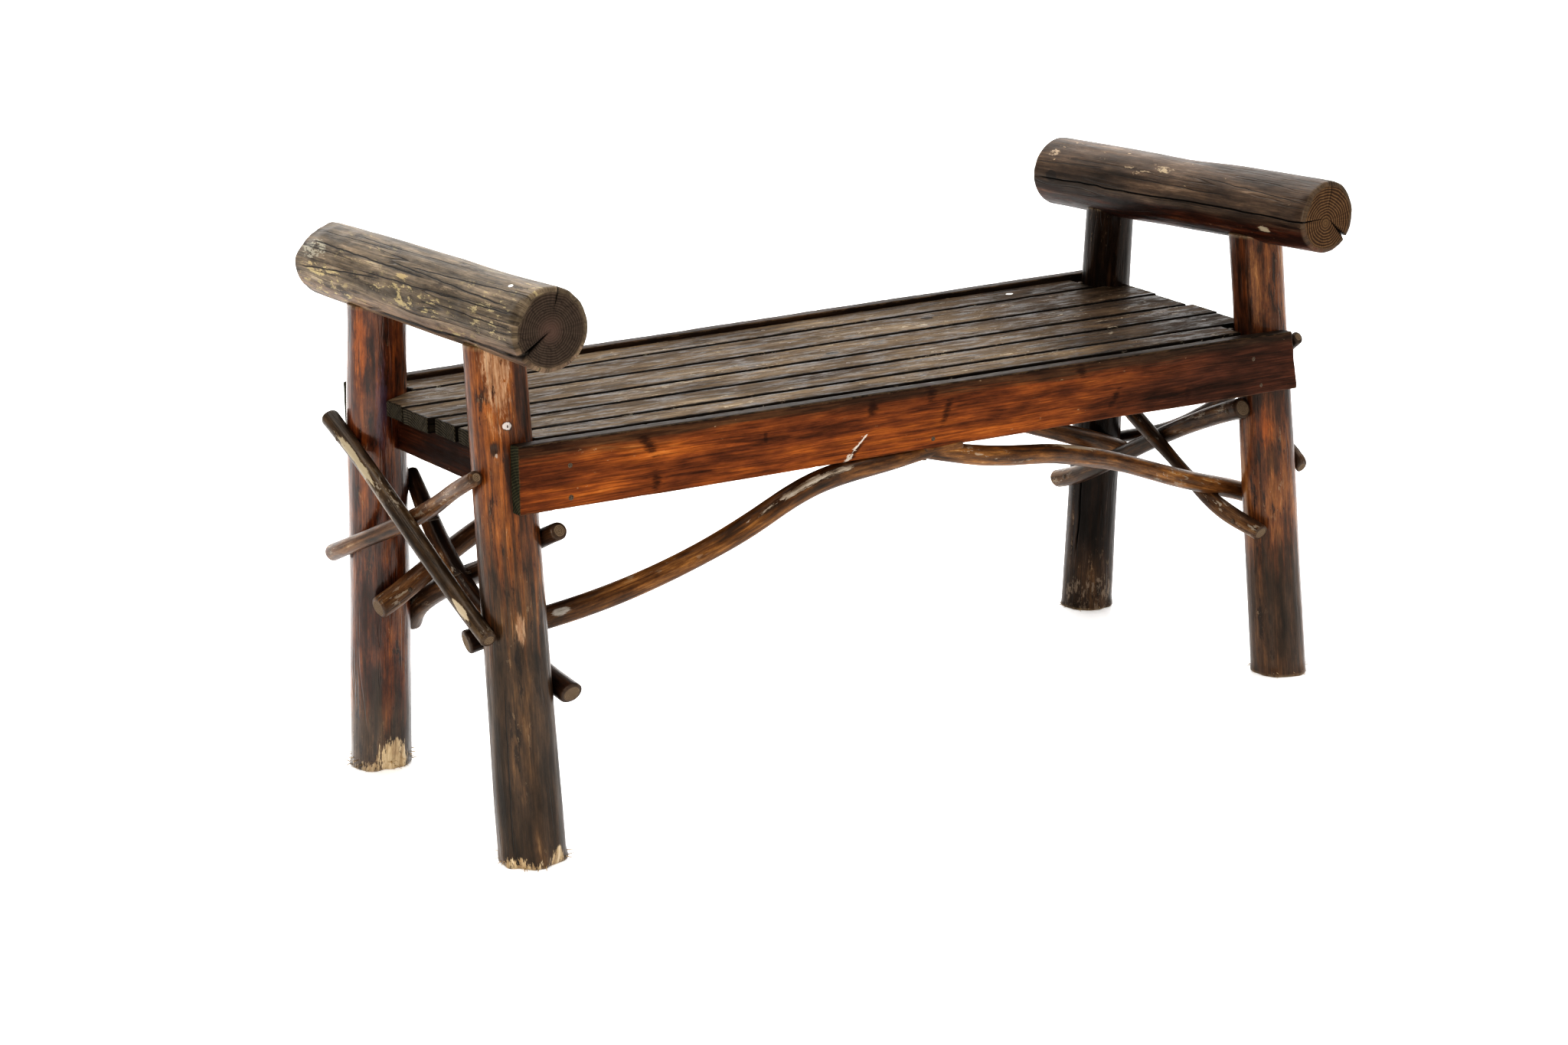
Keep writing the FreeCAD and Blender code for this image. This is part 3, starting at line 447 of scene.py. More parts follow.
def blended(share, first, second):
    # a mix of two numbers
    return made((share, first, second), "ShaderNodeMix", {0: share, 2: first, 3: second})


def stretchedNoise(vector, scale, seed, detail=2.0, rough=0.5):
    inputs = {"Vector": vectorCalc("MULTIPLY", vector, scale), "W": seed, "Scale": 1.0, "Detail": detail,
              "Roughness": rough}
    return made([vector], "ShaderNodeTexNoise", inputs, noise_dimensions="4D")


def storedValue(geometry, label, value):
    kind = "FLOAT_VECTOR" if getattr(value, "type", "") == "VECTOR" else "FLOAT"
    inputs = {"Geometry": geometry, "Name": label, "Value": value}
    return made([geometry], "GeometryNodeStoreNamedAttribute", inputs, data_type=kind, domain="POINT")


def finishTree(geometry, given, result):
    # the last two steps of every geometry tree
    whole = made([geometry], "GeometryNodeRealizeInstances", {"Geometry": geometry})
    painted = made([whole], "GeometryNodeSetMaterial", {"Geometry": whole, "Material": given["Material"]})
    painted.id_data.links.new(painted, result["Geometry"])
    return painted.id_data


def newTree(name, kind, inputs, outputs):
    # a node group: an input is given as its usual value, or as its kind where it has none
    tree = bpy.data.node_groups.new(name, kind)
    kinds = {float: "Float", int: "Int", tuple: "Vector"}
    for label, value in inputs.items():
        socket = value if isinstance(value, str) else kinds[type(value)]
        fresh = tree.interface.new_socket(label, in_out="INPUT", socket_type="NodeSocket" + socket)
        if socket != value:
            fresh.default_value = value
    for label in outputs:
        socket = "NodeSocketGeometry" if label == "Geometry" else "NodeSocketFloat"
        tree.interface.new_socket(label, in_out="OUTPUT", socket_type=socket)
    return tree, tree.nodes.new("NodeGroupInput").outputs, tree.nodes.new("NodeGroupOutput").inputs


def grown(tree, name, **values):
    # the mesh that a geometry tree makes with these inputs
    start = values.get("mesh") or bpy.data.meshes.new(name)
    if "points" in values:
        start.from_pydata(values["points"], [], [])
        storeValues(start, "aim", np.array(values["aims"]))
    carrier = bpy.data.objects.new(name + "Start", start)
    bpy.context.scene.collection.objects.link(carrier)
    modifier = carrier.modifiers.new("grow", "NODES")
    modifier.node_group = tree
    for item in tree.interface.items_tree:
        if item.in_out == "INPUT" and item.name in values:
            modifier[item.identifier] = values[item.name]
    bpy.context.view_layer.update()
    solid = carrier.evaluated_get(bpy.context.evaluated_depsgraph_get())
    mesh = bpy.data.meshes.new_from_object(solid)
    carrier.modifiers.remove(modifier)
    bpy.data.objects.remove(carrier)
    mesh.name = name
    return mesh


# Boards: a dense box with worn arrises, ridges along the grain, a twist and cut ends
boardGrid = {"step": 0.0028, "layers": 9, "crowdLength": 0.5, "crowdSide": 0.6, "cutReach": 0.08}


def wornBoardTree():
    tree, given, result = newTree("wornBoard", "GeometryNodeTree", {
        "Geometry": "Geometry", "Start": (-0.5, 0, 0), "End": (0.5, 0, 0), "Start roll": 0.0, "End roll": 0.0,
        "Width": 0.06, "Thickness": 0.017, "Rows": 20, "Columns": 20, "Arris": 0.003, "Ridge": 0.0003,
        "Wander": 0.0008, "Seed": 0.0, "Start cut": (0, 0, 0), "End cut": (0, 0, 0), "Material": "Material",
    }, ["Geometry"])
    box = addNode(tree, "GeometryNodeMeshCube", {"Size": (2, 2, 2), "Vertices X": given["Rows"],
                                                 "Vertices Y": given["Columns"],
                                                 "Vertices Z": boardGrid["layers"]}).outputs["Mesh"]
    ax, ay, az = parted(addNode(tree, "GeometryNodeInputPosition").outputs[0])

    def crowded(value, share):
        # rows move closer together towards both ends
        return blended(share, value, calc("SINE", times(value, math.pi / 2)))

    ax = crowded(ax, boardGrid["crowdLength"])
    ay, az = crowded(ay, boardGrid["crowdSide"]), crowded(az, boardGrid["crowdSide"])
    span = vectorCalc("SUBTRACT", given["End"], given["Start"])
    halfLength = times(parted(span)[0], 0.5)
    half = joined(halfLength, times(given["Width"], 0.5), times(given["Thickness"], 0.5))
    place = vectorCalc("MULTIPLY", joined(ax, ay, az), half)

    # how far the arris is worn round varies along the board
    wearNoise = stretchedNoise(place, (14, 40, 40), given["Seed"], 3.0)
    chipNoise = stretchedNoise(place, (35, 60, 60), plus(given["Seed"], 5.0), 2.0)
    chip = mapped(chipNoise, 0.64, 0.7, 0.0, 0.8)
    roundness = plus(mapped(wearNoise, 0.3, 0.75, 0.45, 1.35), chip)
    arris = times(given["Arris"], roundness)
    inner = vectorCalc("SUBTRACT", half, joined(arris, arris, arris))
    core = vectorCalc("MAXIMUM", vectorCalc("MINIMUM", place, inner), scaled(inner, -1.0))
    outward = vectorCalc("NORMALIZE", vectorCalc("SUBTRACT", place, core))
    skin = vectorCalc("ADD", core, scaled(outward, arris))

    # distance to the nearest arris: the middle one of the three gaps to the faces, the smallest being nothing
    gapX, gapY, gapZ = parted(vectorCalc("SUBTRACT", half, vectorCalc("ABSOLUTE", place)))
    largest = calc("MAXIMUM", gapX, calc("MAXIMUM", gapY, gapZ))
    away = less(plus(gapX, plus(gapY, gapZ)), largest)
    endFace = mapped(gapX, 0.0, times(arris, 0.9), 1.0, 0.0)

    ridges = less(stretchedNoise(place, (9, 190, 190), given["Seed"], 3.0), 0.5)
    swell = less(stretchedNoise(place, (8, 16, 16), given["Seed"], 1.0), 0.5)
    lift = plus(times(ridges, times(given["Ridge"], 3.0)), times(swell, times(given["Ridge"], 2.5)))
    skin = vectorCalc("ADD", skin, scaled(outward, lift))
    sway = less(stretchedNoise(place, (5, 9, 0.01), given["Seed"], 1.0), 0.5)
    skin = vectorCalc("ADD", skin, joined(0.0, times(sway, given["Wander"]), 0.0))

    # slanting or clipped ends: slope, from where across the width, and which side
    sx, sy, sz = parted(skin)
    for cut, sign in ((given["Start cut"], 1.0), (given["End cut"], -1.0)):
        slope, start, side = parted(cut)
        beyond = calc("MAXIMUM", less(times(sy, side), start), 0.0)
        fromEnd = plus(times(sx, sign), halfLength)
        near = mapped(fromEnd, 0.0, boardGrid["cutReach"], 1.0, 0.0, smooth=False)
        shift = times(times(beyond, slope), near)
        sx = plus(sx, times(shift, sign))

    share = plus(calc("DIVIDE", sx, times(halfLength, 2.0)), 0.5)
    roll = blended(share, given["Start roll"], given["End roll"])
    turned = addNode(tree, "ShaderNodeVectorRotate", {"Vector": joined(0.0, sy, sz), "Angle": roll},
                     rotation_type="X_AXIS").outputs[0]
    line = vectorCalc("ADD", given["Start"], scaled(span, share))
    # values that the material reads are caught before the shape moves
    for label, value in (("grain", place), ("away", away), ("cut", endFace)):
        box = storedValue(box, label, value)
    moved = vectorCalc("ADD", line, turned)
    shaped = addNode(tree, "GeometryNodeSetPosition", {"Geometry": box, "Position": moved}).outputs[0]
    smooth = addNode(tree, "GeometryNodeSetShadeSmooth", {"Geometry": shaped}).outputs[0]
    return finishTree(smooth, given, result)


# local X runs along a board, local Y across its width
boardTurns = {
    "slat": np.eye(3),
    "apron": np.array([[1.0, 0, 0], [0, 0, -1], [0, 1, 0]]),
    "bearer": np.array([[0.0, -1, 0], [1, 0, 0], [0, 0, 1]]),
}


def readBoard(node, kind):
    # ends, width, thickness, roll and end cuts of a board, from slices of its solid
    turn = boardTurns[kind]
    triangles = nodeTriangles(node) @ turn
    points = triangles.reshape(-1, 3)
    low, high = points.min(0), points.max(0)
    length = high[0] - low[0]
    rows = []
    for share in ((0.42, 0.58) if kind == "bearer" else (0.1, 0.9)):
        place = low[0] + share * length
        cut = slicePoints(triangles, np.array([place, 0, 0]), np.array([1.0, 0, 0]))
        fits = []
        for angle in np.radians(np.arange(-6, 6.01, 0.1)):
            u = cut[:, 1] * math.cos(angle) + cut[:, 2] * math.sin(angle)
            v = cut[:, 2] * math.cos(angle) - cut[:, 1] * math.sin(angle)
            cu, cv = (u.min() + u.max()) / 2, (v.min() + v.max()) / 2
            fits.append((np.ptp(u) * np.ptp(v), angle, cu * math.cos(angle) - cv * math.sin(angle),
                         cu * math.sin(angle) + cv * math.cos(angle), np.ptp(u), np.ptp(v)))
        rows.append((place, *min(fits)[1:]))
    first, last = np.array(rows)
    slope = (last - first) / (last[0] - first[0])
    start = first + slope * (low[0] - first[0])
    end = first + slope * (high[0] - first[0])
    # a board can lie askew, so its end cuts are measured from its own centre line
    triangles[..., 1] -= start[2] + slope[2] * (triangles[..., 0] - low[0])
    levels = np.linspace(-1, 1, 15) * (first[4] / 2 - 0.004)
    cuts = []
    across = np.array([0, 1.0, 0])
    for sign in (1, -1):
        ends = np.array([(slicePoints(triangles, across * y, across)[:, 0] * sign).min() for y in levels])
        shift = ends - ends.min()
        side = 1.0 if shift[-1] > shift[0] else -1.0
        moved = shift > 0.0008
        if moved.sum() < 2:
            cuts.append((0.0, 0.0, 1.0))
            continue
        rise, base = np.polyfit(levels[moved] * side, shift[moved], 1)
        cuts.append((float(rise), float(-base / rise), side))
    return {"Start": start[[0, 2, 3]].tolist(), "End": end[[0, 2, 3]].tolist(),
            "Start roll": float(start[1]), "End roll": float(end[1]),
            "Width": float((first[4] + last[4]) / 2), "Thickness": float((first[5] + last[5]) / 2),
            "Rows": int(length / boardGrid["step"]), "Columns": int((first[4] + 0.02) / boardGrid["step"]),
            "Start cut": cuts[0], "End cut": cuts[1]}


def buildBoard(name, node, kind, look, material):
    values = readBoard(node, kind)
    values["Material"] = material
    for label in ("arris", "ridge", "wander", "seed"):
        values[label.title()] = look[label]
    mesh = grown(boardTree, name, **values)
    mesh.transform(Matrix(boardTurns[kind].tolist()).to_4x4())
    print(f"  {name}: {len(mesh.polygons)} faces")
    keepPiece(name, mesh, node)


boardTree = wornBoardTree()


# Nails: one head and shank, set at every nail of a group
nailLook = {"Dome": 0.0006, "Rim": 0.00035}


def nailTree():
    tree, given, result = newTree("nailSet", "GeometryNodeTree", {
        "Geometry": "Geometry", "Head radius": 0.004, "Head height": 0.0015, "Shank radius": 0.0017,
        "Length": 0.05, "Dome": 0.0006, "Rim": 0.00035, "Seed": 0, "Material": "Material",
    }, ["Geometry"])
    head = addNode(tree, "GeometryNodeMeshCylinder", {"Vertices": 36, "Side Segments": 4, "Fill Segments": 7,
                                                      "Radius": 1.0, "Depth": 2.0}).outputs["Mesh"]
    px, py, pz = parted(addNode(tree, "GeometryNodeInputPosition").outputs[0])
    reach = vectorCalc("LENGTH", joined(px, py, 0.0))
    sunk = times(times(reach, reach), given["Dome"])
    lip = times(mapped(reach, 0.8, 1.0), given["Rim"])
    topShift = times(plus(sunk, lip), mapped(pz, 0.0, 1.0, 0.0, -1.0))
    height = times(less(pz, 1.0), times(given["Head height"], 0.5))
    radius = given["Head radius"]
    shaped = joined(times(px, radius), times(py, radius), plus(height, topShift))
    head = addNode(tree, "GeometryNodeSetPosition", {"Geometry": head, "Position": shaped}).outputs[0]
    shank = addNode(tree, "GeometryNodeMeshCylinder", {"Vertices": 20, "Radius": given["Shank radius"],
                                                       "Depth": given["Length"]}).outputs["Mesh"]
    down = times(plus(given["Length"], given["Head height"]), -0.5)
    shank = addNode(tree, "GeometryNodeTransform", {
        "Geometry": shank, "Translation": joined(0.0, 0.0, down)})
    nail = addNode(tree, "GeometryNodeJoinGeometry")
    tree.links.new(head, nail.inputs[0])
    tree.links.new(shank.outputs[0], nail.inputs[0])
    aim = addNode(tree, "GeometryNodeInputNamedAttribute", {"Name": "aim"}, data_type="FLOAT_VECTOR")
    turned = made([aim.outputs[0]], "FunctionNodeAlignRotationToVector", {"Vector": aim.outputs[0]}, axis="Z")
    points = addNode(tree, "GeometryNodeMeshToPoints", {"Mesh": given["Geometry"]}).outputs[0]
    spin = addNode(tree, "FunctionNodeRandomValue", {2: 0.0, 3: 6.283, "Seed": given["Seed"]},
                   data_type="FLOAT")
    turn = joined(0.0, 0.0, spin.outputs[1])
    spun = addNode(tree, "FunctionNodeRotateRotation", {"Rotation": turned, "Rotate By": turn},
                   rotation_space="LOCAL").outputs[0]
    placed = addNode(tree, "GeometryNodeInstanceOnPoints", {"Points": points, "Instance": nail.outputs[0],
                                                            "Rotation": spun}).outputs[0]
    return finishTree(placed, given, result)


def looseParts(triangles):
    # the separate solids of a node, as lists of points
    points = np.round(triangles.reshape(-1, 3) * 20000).astype(int)
    unique, ids = np.unique(points, axis=0, return_inverse=True)
    ids = ids.reshape(-1, 3)
    label = np.arange(len(unique))
    while True:
        lowest = label[ids].min(1)
        fresh = label.copy()
        for corner in range(3):
            np.minimum.at(fresh, ids[:, corner], lowest)
        if (fresh == label).all():
            break
        label = fresh
    owner = label[ids[:, 0]]
    return [triangles[owner == value].reshape(-1, 3) for value in np.unique(owner)]


def readNail(points):
    # middle of the head's top, the way it faces, its radius and the shank's
    middle = (points.min(0) + points.max(0)) / 2
    centred = points - points.mean(0)
    aim = np.linalg.svd(centred, full_matrices=False)[2][0]
    along = (points - middle) @ aim
    across = np.linalg.norm(points - middle - along[:, None] * aim, axis=1)
    if across[along > 0].max() < across[along < 0].max():
        aim, along = -aim, -along
    far = along.max()
    top = points[along > far - 0.0004]
    length = along.max() - along.min()
    centre = (top.min(0) + top.max(0)) / 2
    side = np.linalg.norm(points - centre - ((points - centre) @ aim)[:, None] * aim, axis=1)
    head = side.max()
    edge = along[side > 0.9 * head]
    shank = np.median(side[(side < 0.7 * head) & (side > 0.2 * head)])
    return centre, aim, head, far - edge.min(), shank, length


def buildNails(name, node, material):
    nails = [readNail(part) for part in looseParts(nodeTriangles(node))]
    sizes = np.median(np.array([nail[2:] for nail in nails]), 0)
    print("  nail sizes", name, len(nails), [round(float(size) * 1000, 2) for size in sizes])
    points, aims = ([nail[i].tolist() for nail in nails] for i in (0, 1))
    shape = {"Head radius": float(sizes[0]), "Head height": float(sizes[1]), "Shank radius": float(sizes[2]),
             "Length": float(sizes[3] - sizes[1])}
    mesh = grown(nailHeads, name, points=points, aims=aims, Seed=len(nails), Material=material,
                 **shape, **nailLook)
    mesh.shade_smooth()
    keepPiece(name, mesh, node)


nailHeads = nailTree()


# Splintered fibres that stand out round the foot of a leg

def fibreTree():
    tree, given, result = newTree("footFibres", "GeometryNodeTree", {
        "Geometry": "Geometry", "Height": 0.008, "Density": 20000.0, "Length": 0.008, "Thickness": 0.0006,
        "Seed": 0, "Material": "Material",
    }, ["Geometry"])
    level = parted(addNode(tree, "GeometryNodeInputPosition").outputs[0])[2]
    face = addNode(tree, "GeometryNodeInputNamedAttribute", {"Name": "cut"}, data_type="FLOAT").outputs[0]
    side = times(calc("LESS_THAN", level, given["Height"]), calc("LESS_THAN", face, 0.5))
    spread = addNode(tree, "GeometryNodeDistributePointsOnFaces", {
        "Mesh": given["Geometry"], "Selection": side, "Density": given["Density"], "Seed": given["Seed"]})
    spike = addNode(tree, "GeometryNodeMeshCone", {
        "Vertices": 5, "Radius Top": 0.00005, "Radius Bottom": given["Thickness"],
        "Depth": given["Length"]}).outputs["Mesh"]
    tilt = addNode(tree, "FunctionNodeRandomValue", {
        0: (-0.5, -0.5, -0.7), 1: (0.5, 0.5, 0.5), "Seed": given["Seed"]}, data_type="FLOAT_VECTOR")
    aim = vectorCalc("ADD", spread.outputs["Normal"], tilt.outputs[0])
    turned = addNode(tree, "FunctionNodeAlignRotationToVector", {"Vector": aim}, axis="Z").outputs[0]
    size = addNode(tree, "FunctionNodeRandomValue", {2: 0.25, 3: 1.1, "Seed": given["Seed"]},
                   data_type="FLOAT")
    placed = addNode(tree, "GeometryNodeInstanceOnPoints", {
        "Points": spread.outputs["Points"], "Instance": spike, "Rotation": turned,
        "Scale": size.outputs[1]}).outputs[0]
    whole = addNode(tree, "GeometryNodeRealizeInstances", {"Geometry": placed}).outputs[0]
    x, y, z = parted(addNode(tree, "GeometryNodeInputPosition").outputs[0])
    whole = addNode(tree, "GeometryNodeSetPosition", {
        "Geometry": whole, "Position": joined(x, y, calc("MAXIMUM", z, 0.0001))}).outputs[0]
    for label, value in (("grain", joined(z, x, y)), ("cut", 1.0)):
        whole = storedValue(whole, label, value)
    both = addNode(tree, "GeometryNodeJoinGeometry")
    tree.links.new(given["Geometry"], both.inputs[0])
    tree.links.new(whole, both.inputs[0])
    return finishTree(both.outputs[0], given, result)


footFibres = fibreTree()


# Shader groups that all woods share

# Noises of a wood: how often each repeats in a metre, its step from the seed, its detail and roughness
fibreLayers = {"Broad": ((6, 24, 24), 0.0, 3.0, 0.6), "Streak": ((5, 165, 165), 11.0, 4.0, 0.62),
               "Mottle": ((20, 95, 95), 17.0, 5.0, 0.72), "Fine": ((16, 620, 620), 23.0, 2.0, 0.6),
               "Flake": ((55, 170, 170), 37.0, 4.0, 0.7)}


def fibreGroup():
    tree, given, result = newTree("woodFibre", "ShaderNodeTree", {
        "Grain": "Vector", "Seed": 0.0, "Swirl": 0.004}, [*fibreLayers, "Figure", "Check"])
    grain, seed = given["Grain"], given["Seed"]
    bend = times(less(stretchedNoise(grain, (11, 16, 16), seed, 1.0), 0.5), given["Swirl"])
    bent = vectorCalc("ADD", grain, joined(0.0, bend, bend))

    def layer(scale, number, detail, rough=0.5):
        return stretchedNoise(bent, scale, plus(seed, number), detail, rough)

    for label, values in fibreLayers.items():
        tree.links.new(layer(*values), result[label])
    # contour lines of a long smooth noise look like the figure of a sawn board
    contour = calc("SINE", times(layer((1.5, 24, 24), 29.0, 1.0), 130.0))
    tree.links.new(timesPlus(contour, 0.5, 0.5), result["Figure"])
    line = calc("ABSOLUTE", less(layer((3.2, 75, 75), 41.0, 1.0), 0.5))
    where = mapped(layer((9, 34, 34), 53.0, 1.0), 0.47, 0.58)
    tree.links.new(times(mapped(line, 0.004, 0.02, 1.0, 0.0), where), result["Check"])
    return tree


def endGrainGroup():
    tree, given, result = newTree("endGrain", "ShaderNodeTree", {
        "Grain": "Vector", "Seed": 0.0, "Pith": "Vector", "Spacing": 0.0022}, ["Ring", "Ray", "Reach"])
    _, y, z = parted(vectorCalc("SUBTRACT", given["Grain"], given["Pith"]))
    flat = joined(0.0, y, z)
    wobble = less(stretchedNoise(flat, (1, 60, 60), given["Seed"], 2.0), 0.5)
    reach = vectorCalc("LENGTH", flat)
    swung = plus(reach, times(wobble, 0.005))
    ring = calc("SINE", calc("DIVIDE", times(swung, 2 * math.pi), given["Spacing"]))
    turn = calc("ARCTAN2", z, y)
    spoke = joined(times(reach, 30.0), calc("COSINE", turn), calc("SINE", turn))
    ray = stretchedNoise(spoke, (1, 14, 14), given["Seed"], 2.0)
    tree.links.new(timesPlus(ring, 0.5, 0.5), result["Ring"])
    tree.links.new(ray, result["Ray"])
    tree.links.new(reach, result["Reach"])
    return tree


def spotGroup():
    # a ragged patch round one place
    tree, given, result = newTree("spotMark", "ShaderNodeTree", {
        "Grain": "Vector", "At": "Vector", "Reach": (0.01, 0.01, 0.01), "Lean": 0.0, "Ragged": 0.4,
        "Soft": 0.2, "Seed": 0.0}, ["Mask"])
    offset = vectorCalc("SUBTRACT", given["Grain"], given["At"])
    leaning = times(parted(offset)[1], given["Lean"])
    offset = vectorCalc("SUBTRACT", offset, joined(leaning, 0.0, 0.0))
    away = vectorCalc("DIVIDE", offset, given["Reach"])
    rough = less(stretchedNoise(given["Grain"], (55, 330, 330), given["Seed"], 4.0, 0.7), 0.5)
    far = timesPlus(rough, times(given["Ragged"], 2.0), vectorCalc("LENGTH", away))
    tree.links.new(mapped(far, less(1.0, given["Soft"]), 1.0, 1.0, 0.0), result["Mask"])
    return tree


def lineGroup():
    # a crack that runs along a log from one place and angle to another
    tree, given, result = newTree("checkLine", "ShaderNodeTree", {
        "Grain": "Vector", "From": "Vector", "To": "Vector", "Width": 0.001, "Sway": 0.004,
        "Seed": 0.0}, ["Mask"])
    x, y, z = parted(given["Grain"])
    fromPlace, fromTurn, _ = parted(given["From"])
    toPlace, toTurn, _ = parted(given["To"])
    share = mapped(x, fromPlace, toPlace, smooth=False)
    turn = blended(share, fromTurn, toTurn)
    thickness = vectorCalc("LENGTH", joined(0.0, y, z))
    angle = less(calc("ARCTAN2", z, y), turn)
    aside = times(calc("WRAP", angle, math.pi, -math.pi), thickness)
    sway = less(stretchedNoise(joined(x, 0.0, 0.0), (30, 1, 1), given["Seed"], 3.0), 0.5)
    aside = calc("ABSOLUTE", timesPlus(sway, given["Sway"], aside))
    taper = times(mapped(share, 0.0, 0.12), mapped(share, 0.88, 1.0, 1.0, 0.0))
    half = times(times(given["Width"], 0.5), taper)
    edge = calc("DIVIDE", aside, calc("MAXIMUM", half, 0.00002))
    tree.links.new(times(mapped(edge, 0.7, 1.4, 1.0, 0.0), mapped(taper, 0.0, 0.1)), result["Mask"])
    return tree


groups = {"fibre": fibreGroup(), "endGrain": endGrainGroup(), "spot": spotGroup(), "line": lineGroup()}


def useGroup(tree, name, **inputs):
    return addNode(tree, "ShaderNodeGroup", inputs, node_tree=groups[name]).outputs


def ramp(value, stops):
    colour = made([value], "ShaderNodeValToRGB", {0: value})
    elements = colour.node.color_ramp.elements
    while len(elements) > 1:
        elements.remove(elements[-1])
    elements[0].position = stops[0][0]
    elements[0].color = tone(*stops[0][1])
    for place, shade in stops[1:]:
        elements.new(place).color = tone(*shade)
    return colour


def covered(colour, mask, over, strength=1.0, mode="MIX"):
    # colour with another laid over it where the mask is
    if isinstance(over, tuple):
        over = tone(*over)
    share = times(mask, strength) if strength != 1.0 else mask
    mix = made([colour], "ShaderNodeMix", {0: share, 6: colour, 7: over}, data_type="RGBA", blend_type=mode)
    return mix.node.outputs[2]


def attribute(tree, name, output="Fac"):
    return addNode(tree, "ShaderNodeAttribute", attribute_name=name).outputs[output]


# How much each noise lifts the surface, the warm tint of varnish in highlights, and the colours in cracks
bumpShares = {"Fine": 0.25, "Streak": 0.5, "Flake": 0.35, "dent": -1.6, "distance": 0.0012}
varnishTint = (1.0, 0.86, 0.7, 1.0)
dentColour, crackColour = (14, 11, 9), (10, 8, 7)


def skinColour(tree, look, grain, fibre):
    # colour of the varnished skin, with the masks of its flakes and of its dents
    seed, place = look["seed"], parted(grain)
    tint = 0.0
    for label, weight in zip(("Broad", "Mottle", "Streak", "Figure"), look["mix"]):
        if weight:
            tint = timesPlus(fibre[label], weight, tint)
    spread = look.get("spread", 0.12)
    tint = mapped(tint, 0.5 - spread, 0.5 + spread, smooth=False)
    colour = ramp(tint, look["colours"])
    for area in look.get("zones", []):
        where = timesPlus(less(fibre["Streak"], 0.5), area["ragged"], place[area["axis"]])
        if area["none"] > area["full"]:
            mask = mapped(where, area["full"], area["none"], 1.0, 0.0)
        else:
            mask = mapped(where, area["none"], area["full"])
        colour = covered(colour, mask, ramp(tint, area["colours"]), area["strength"])
    if "stain" in look:
        level = look["stain"]["level"]
        mask = mapped(fibre["Mottle"], level, level - 0.06, 0.0, 1.0)
        mask = times(mask, mapped(fibre["Broad"], 0.42, 0.55))
        colour = covered(colour, mask, look["stain"]["colour"], 0.75)
    shade = mapped(fibre["Fine"], 0.35, 0.6, look.get("fineDark", 0.6), 1.0, smooth=False)
    grey = addNode(tree, "ShaderNodeCombineColor", {0: shade, 1: shade, 2: shade}).outputs[0]
    colour = covered(colour, 1.0, grey, mode="MULTIPLY")

    flake = look["flake"]
    where = mapped(fibre["Broad"], flake["from"], flake["from"] + 0.15)
    flakes = times(mapped(fibre["Flake"], flake["level"], flake["level"] + 0.03), where)
    colour = covered(colour, flakes, flake["colour"], flake["strength"])
    for number, spot in enumerate(look.get("spots", [])):
        edge = {key.title(): spot[key] for key in ("at", "reach", "lean", "ragged", "soft") if key in spot}
        mask = useGroup(tree, "spot", Grain=grain, Seed=seed + number, **edge)["Mask"]
        over = spot.get("colour")
        if over is None:
            over = ramp(blended(0.5, fibre["Mottle"], fibre["Streak"]), spot["colours"])
        if "speckle" in spot:
            mask = times(mask, mapped(fibre["Flake"], spot["speckle"], spot["speckle"] + 0.06))
        colour = covered(colour, mask, over, spot.get("strength", 0.9))
    dents = times(fibre["Check"], look["checks"])
    for number, (start, startTurn, end, endTurn, width) in enumerate(look.get("lines", [])):
        mark = useGroup(tree, "line", Grain=grain, From=(start, math.radians(startTurn), 0),
                        To=(end, math.radians(endTurn), 0), Width=width, Seed=seed + number * 2.7)["Mask"]
        dents = calc("MAXIMUM", dents, mark)
    colour = covered(colour, dents, dentColour, 0.92)
    # a band along the arrises: real pale wear on the aprons, painted shade at the gaps between the slats
    if "worn" in look:
        worn = look["worn"]
        near = timesPlus(less(fibre["Flake"], 0.5), 0.012, attribute(tree, "away"))
        mask = mapped(near, worn["reach"] * 0.4, worn["reach"], 1.0, 0.0)
        colour = covered(colour, mask, worn["colour"], worn["strength"])
    return colour, flakes, dents


def endColour(tree, look, grain):
    # rings and rays of a cut end, darker or paler round the heart
    face = look["end"]
    rings = useGroup(tree, "endGrain", Grain=grain, Seed=look["seed"], Pith=(0, *face.get("pith", (0, 0))),
                     Spacing=face.get("spacing", 0.0022))
    rays = mapped(rings["Ray"], 0.25, 0.75)
    colour = ramp(blended(1 - face.get("ringWeight", 0.65), rings["Ring"], rays), face["colours"])
    if "heart" in face:
        heart = mapped(rings["Reach"], 0.0, face["heartReach"], 1.0, 0.0)
        colour = covered(colour, heart, face["heart"], 0.7)
    return colour


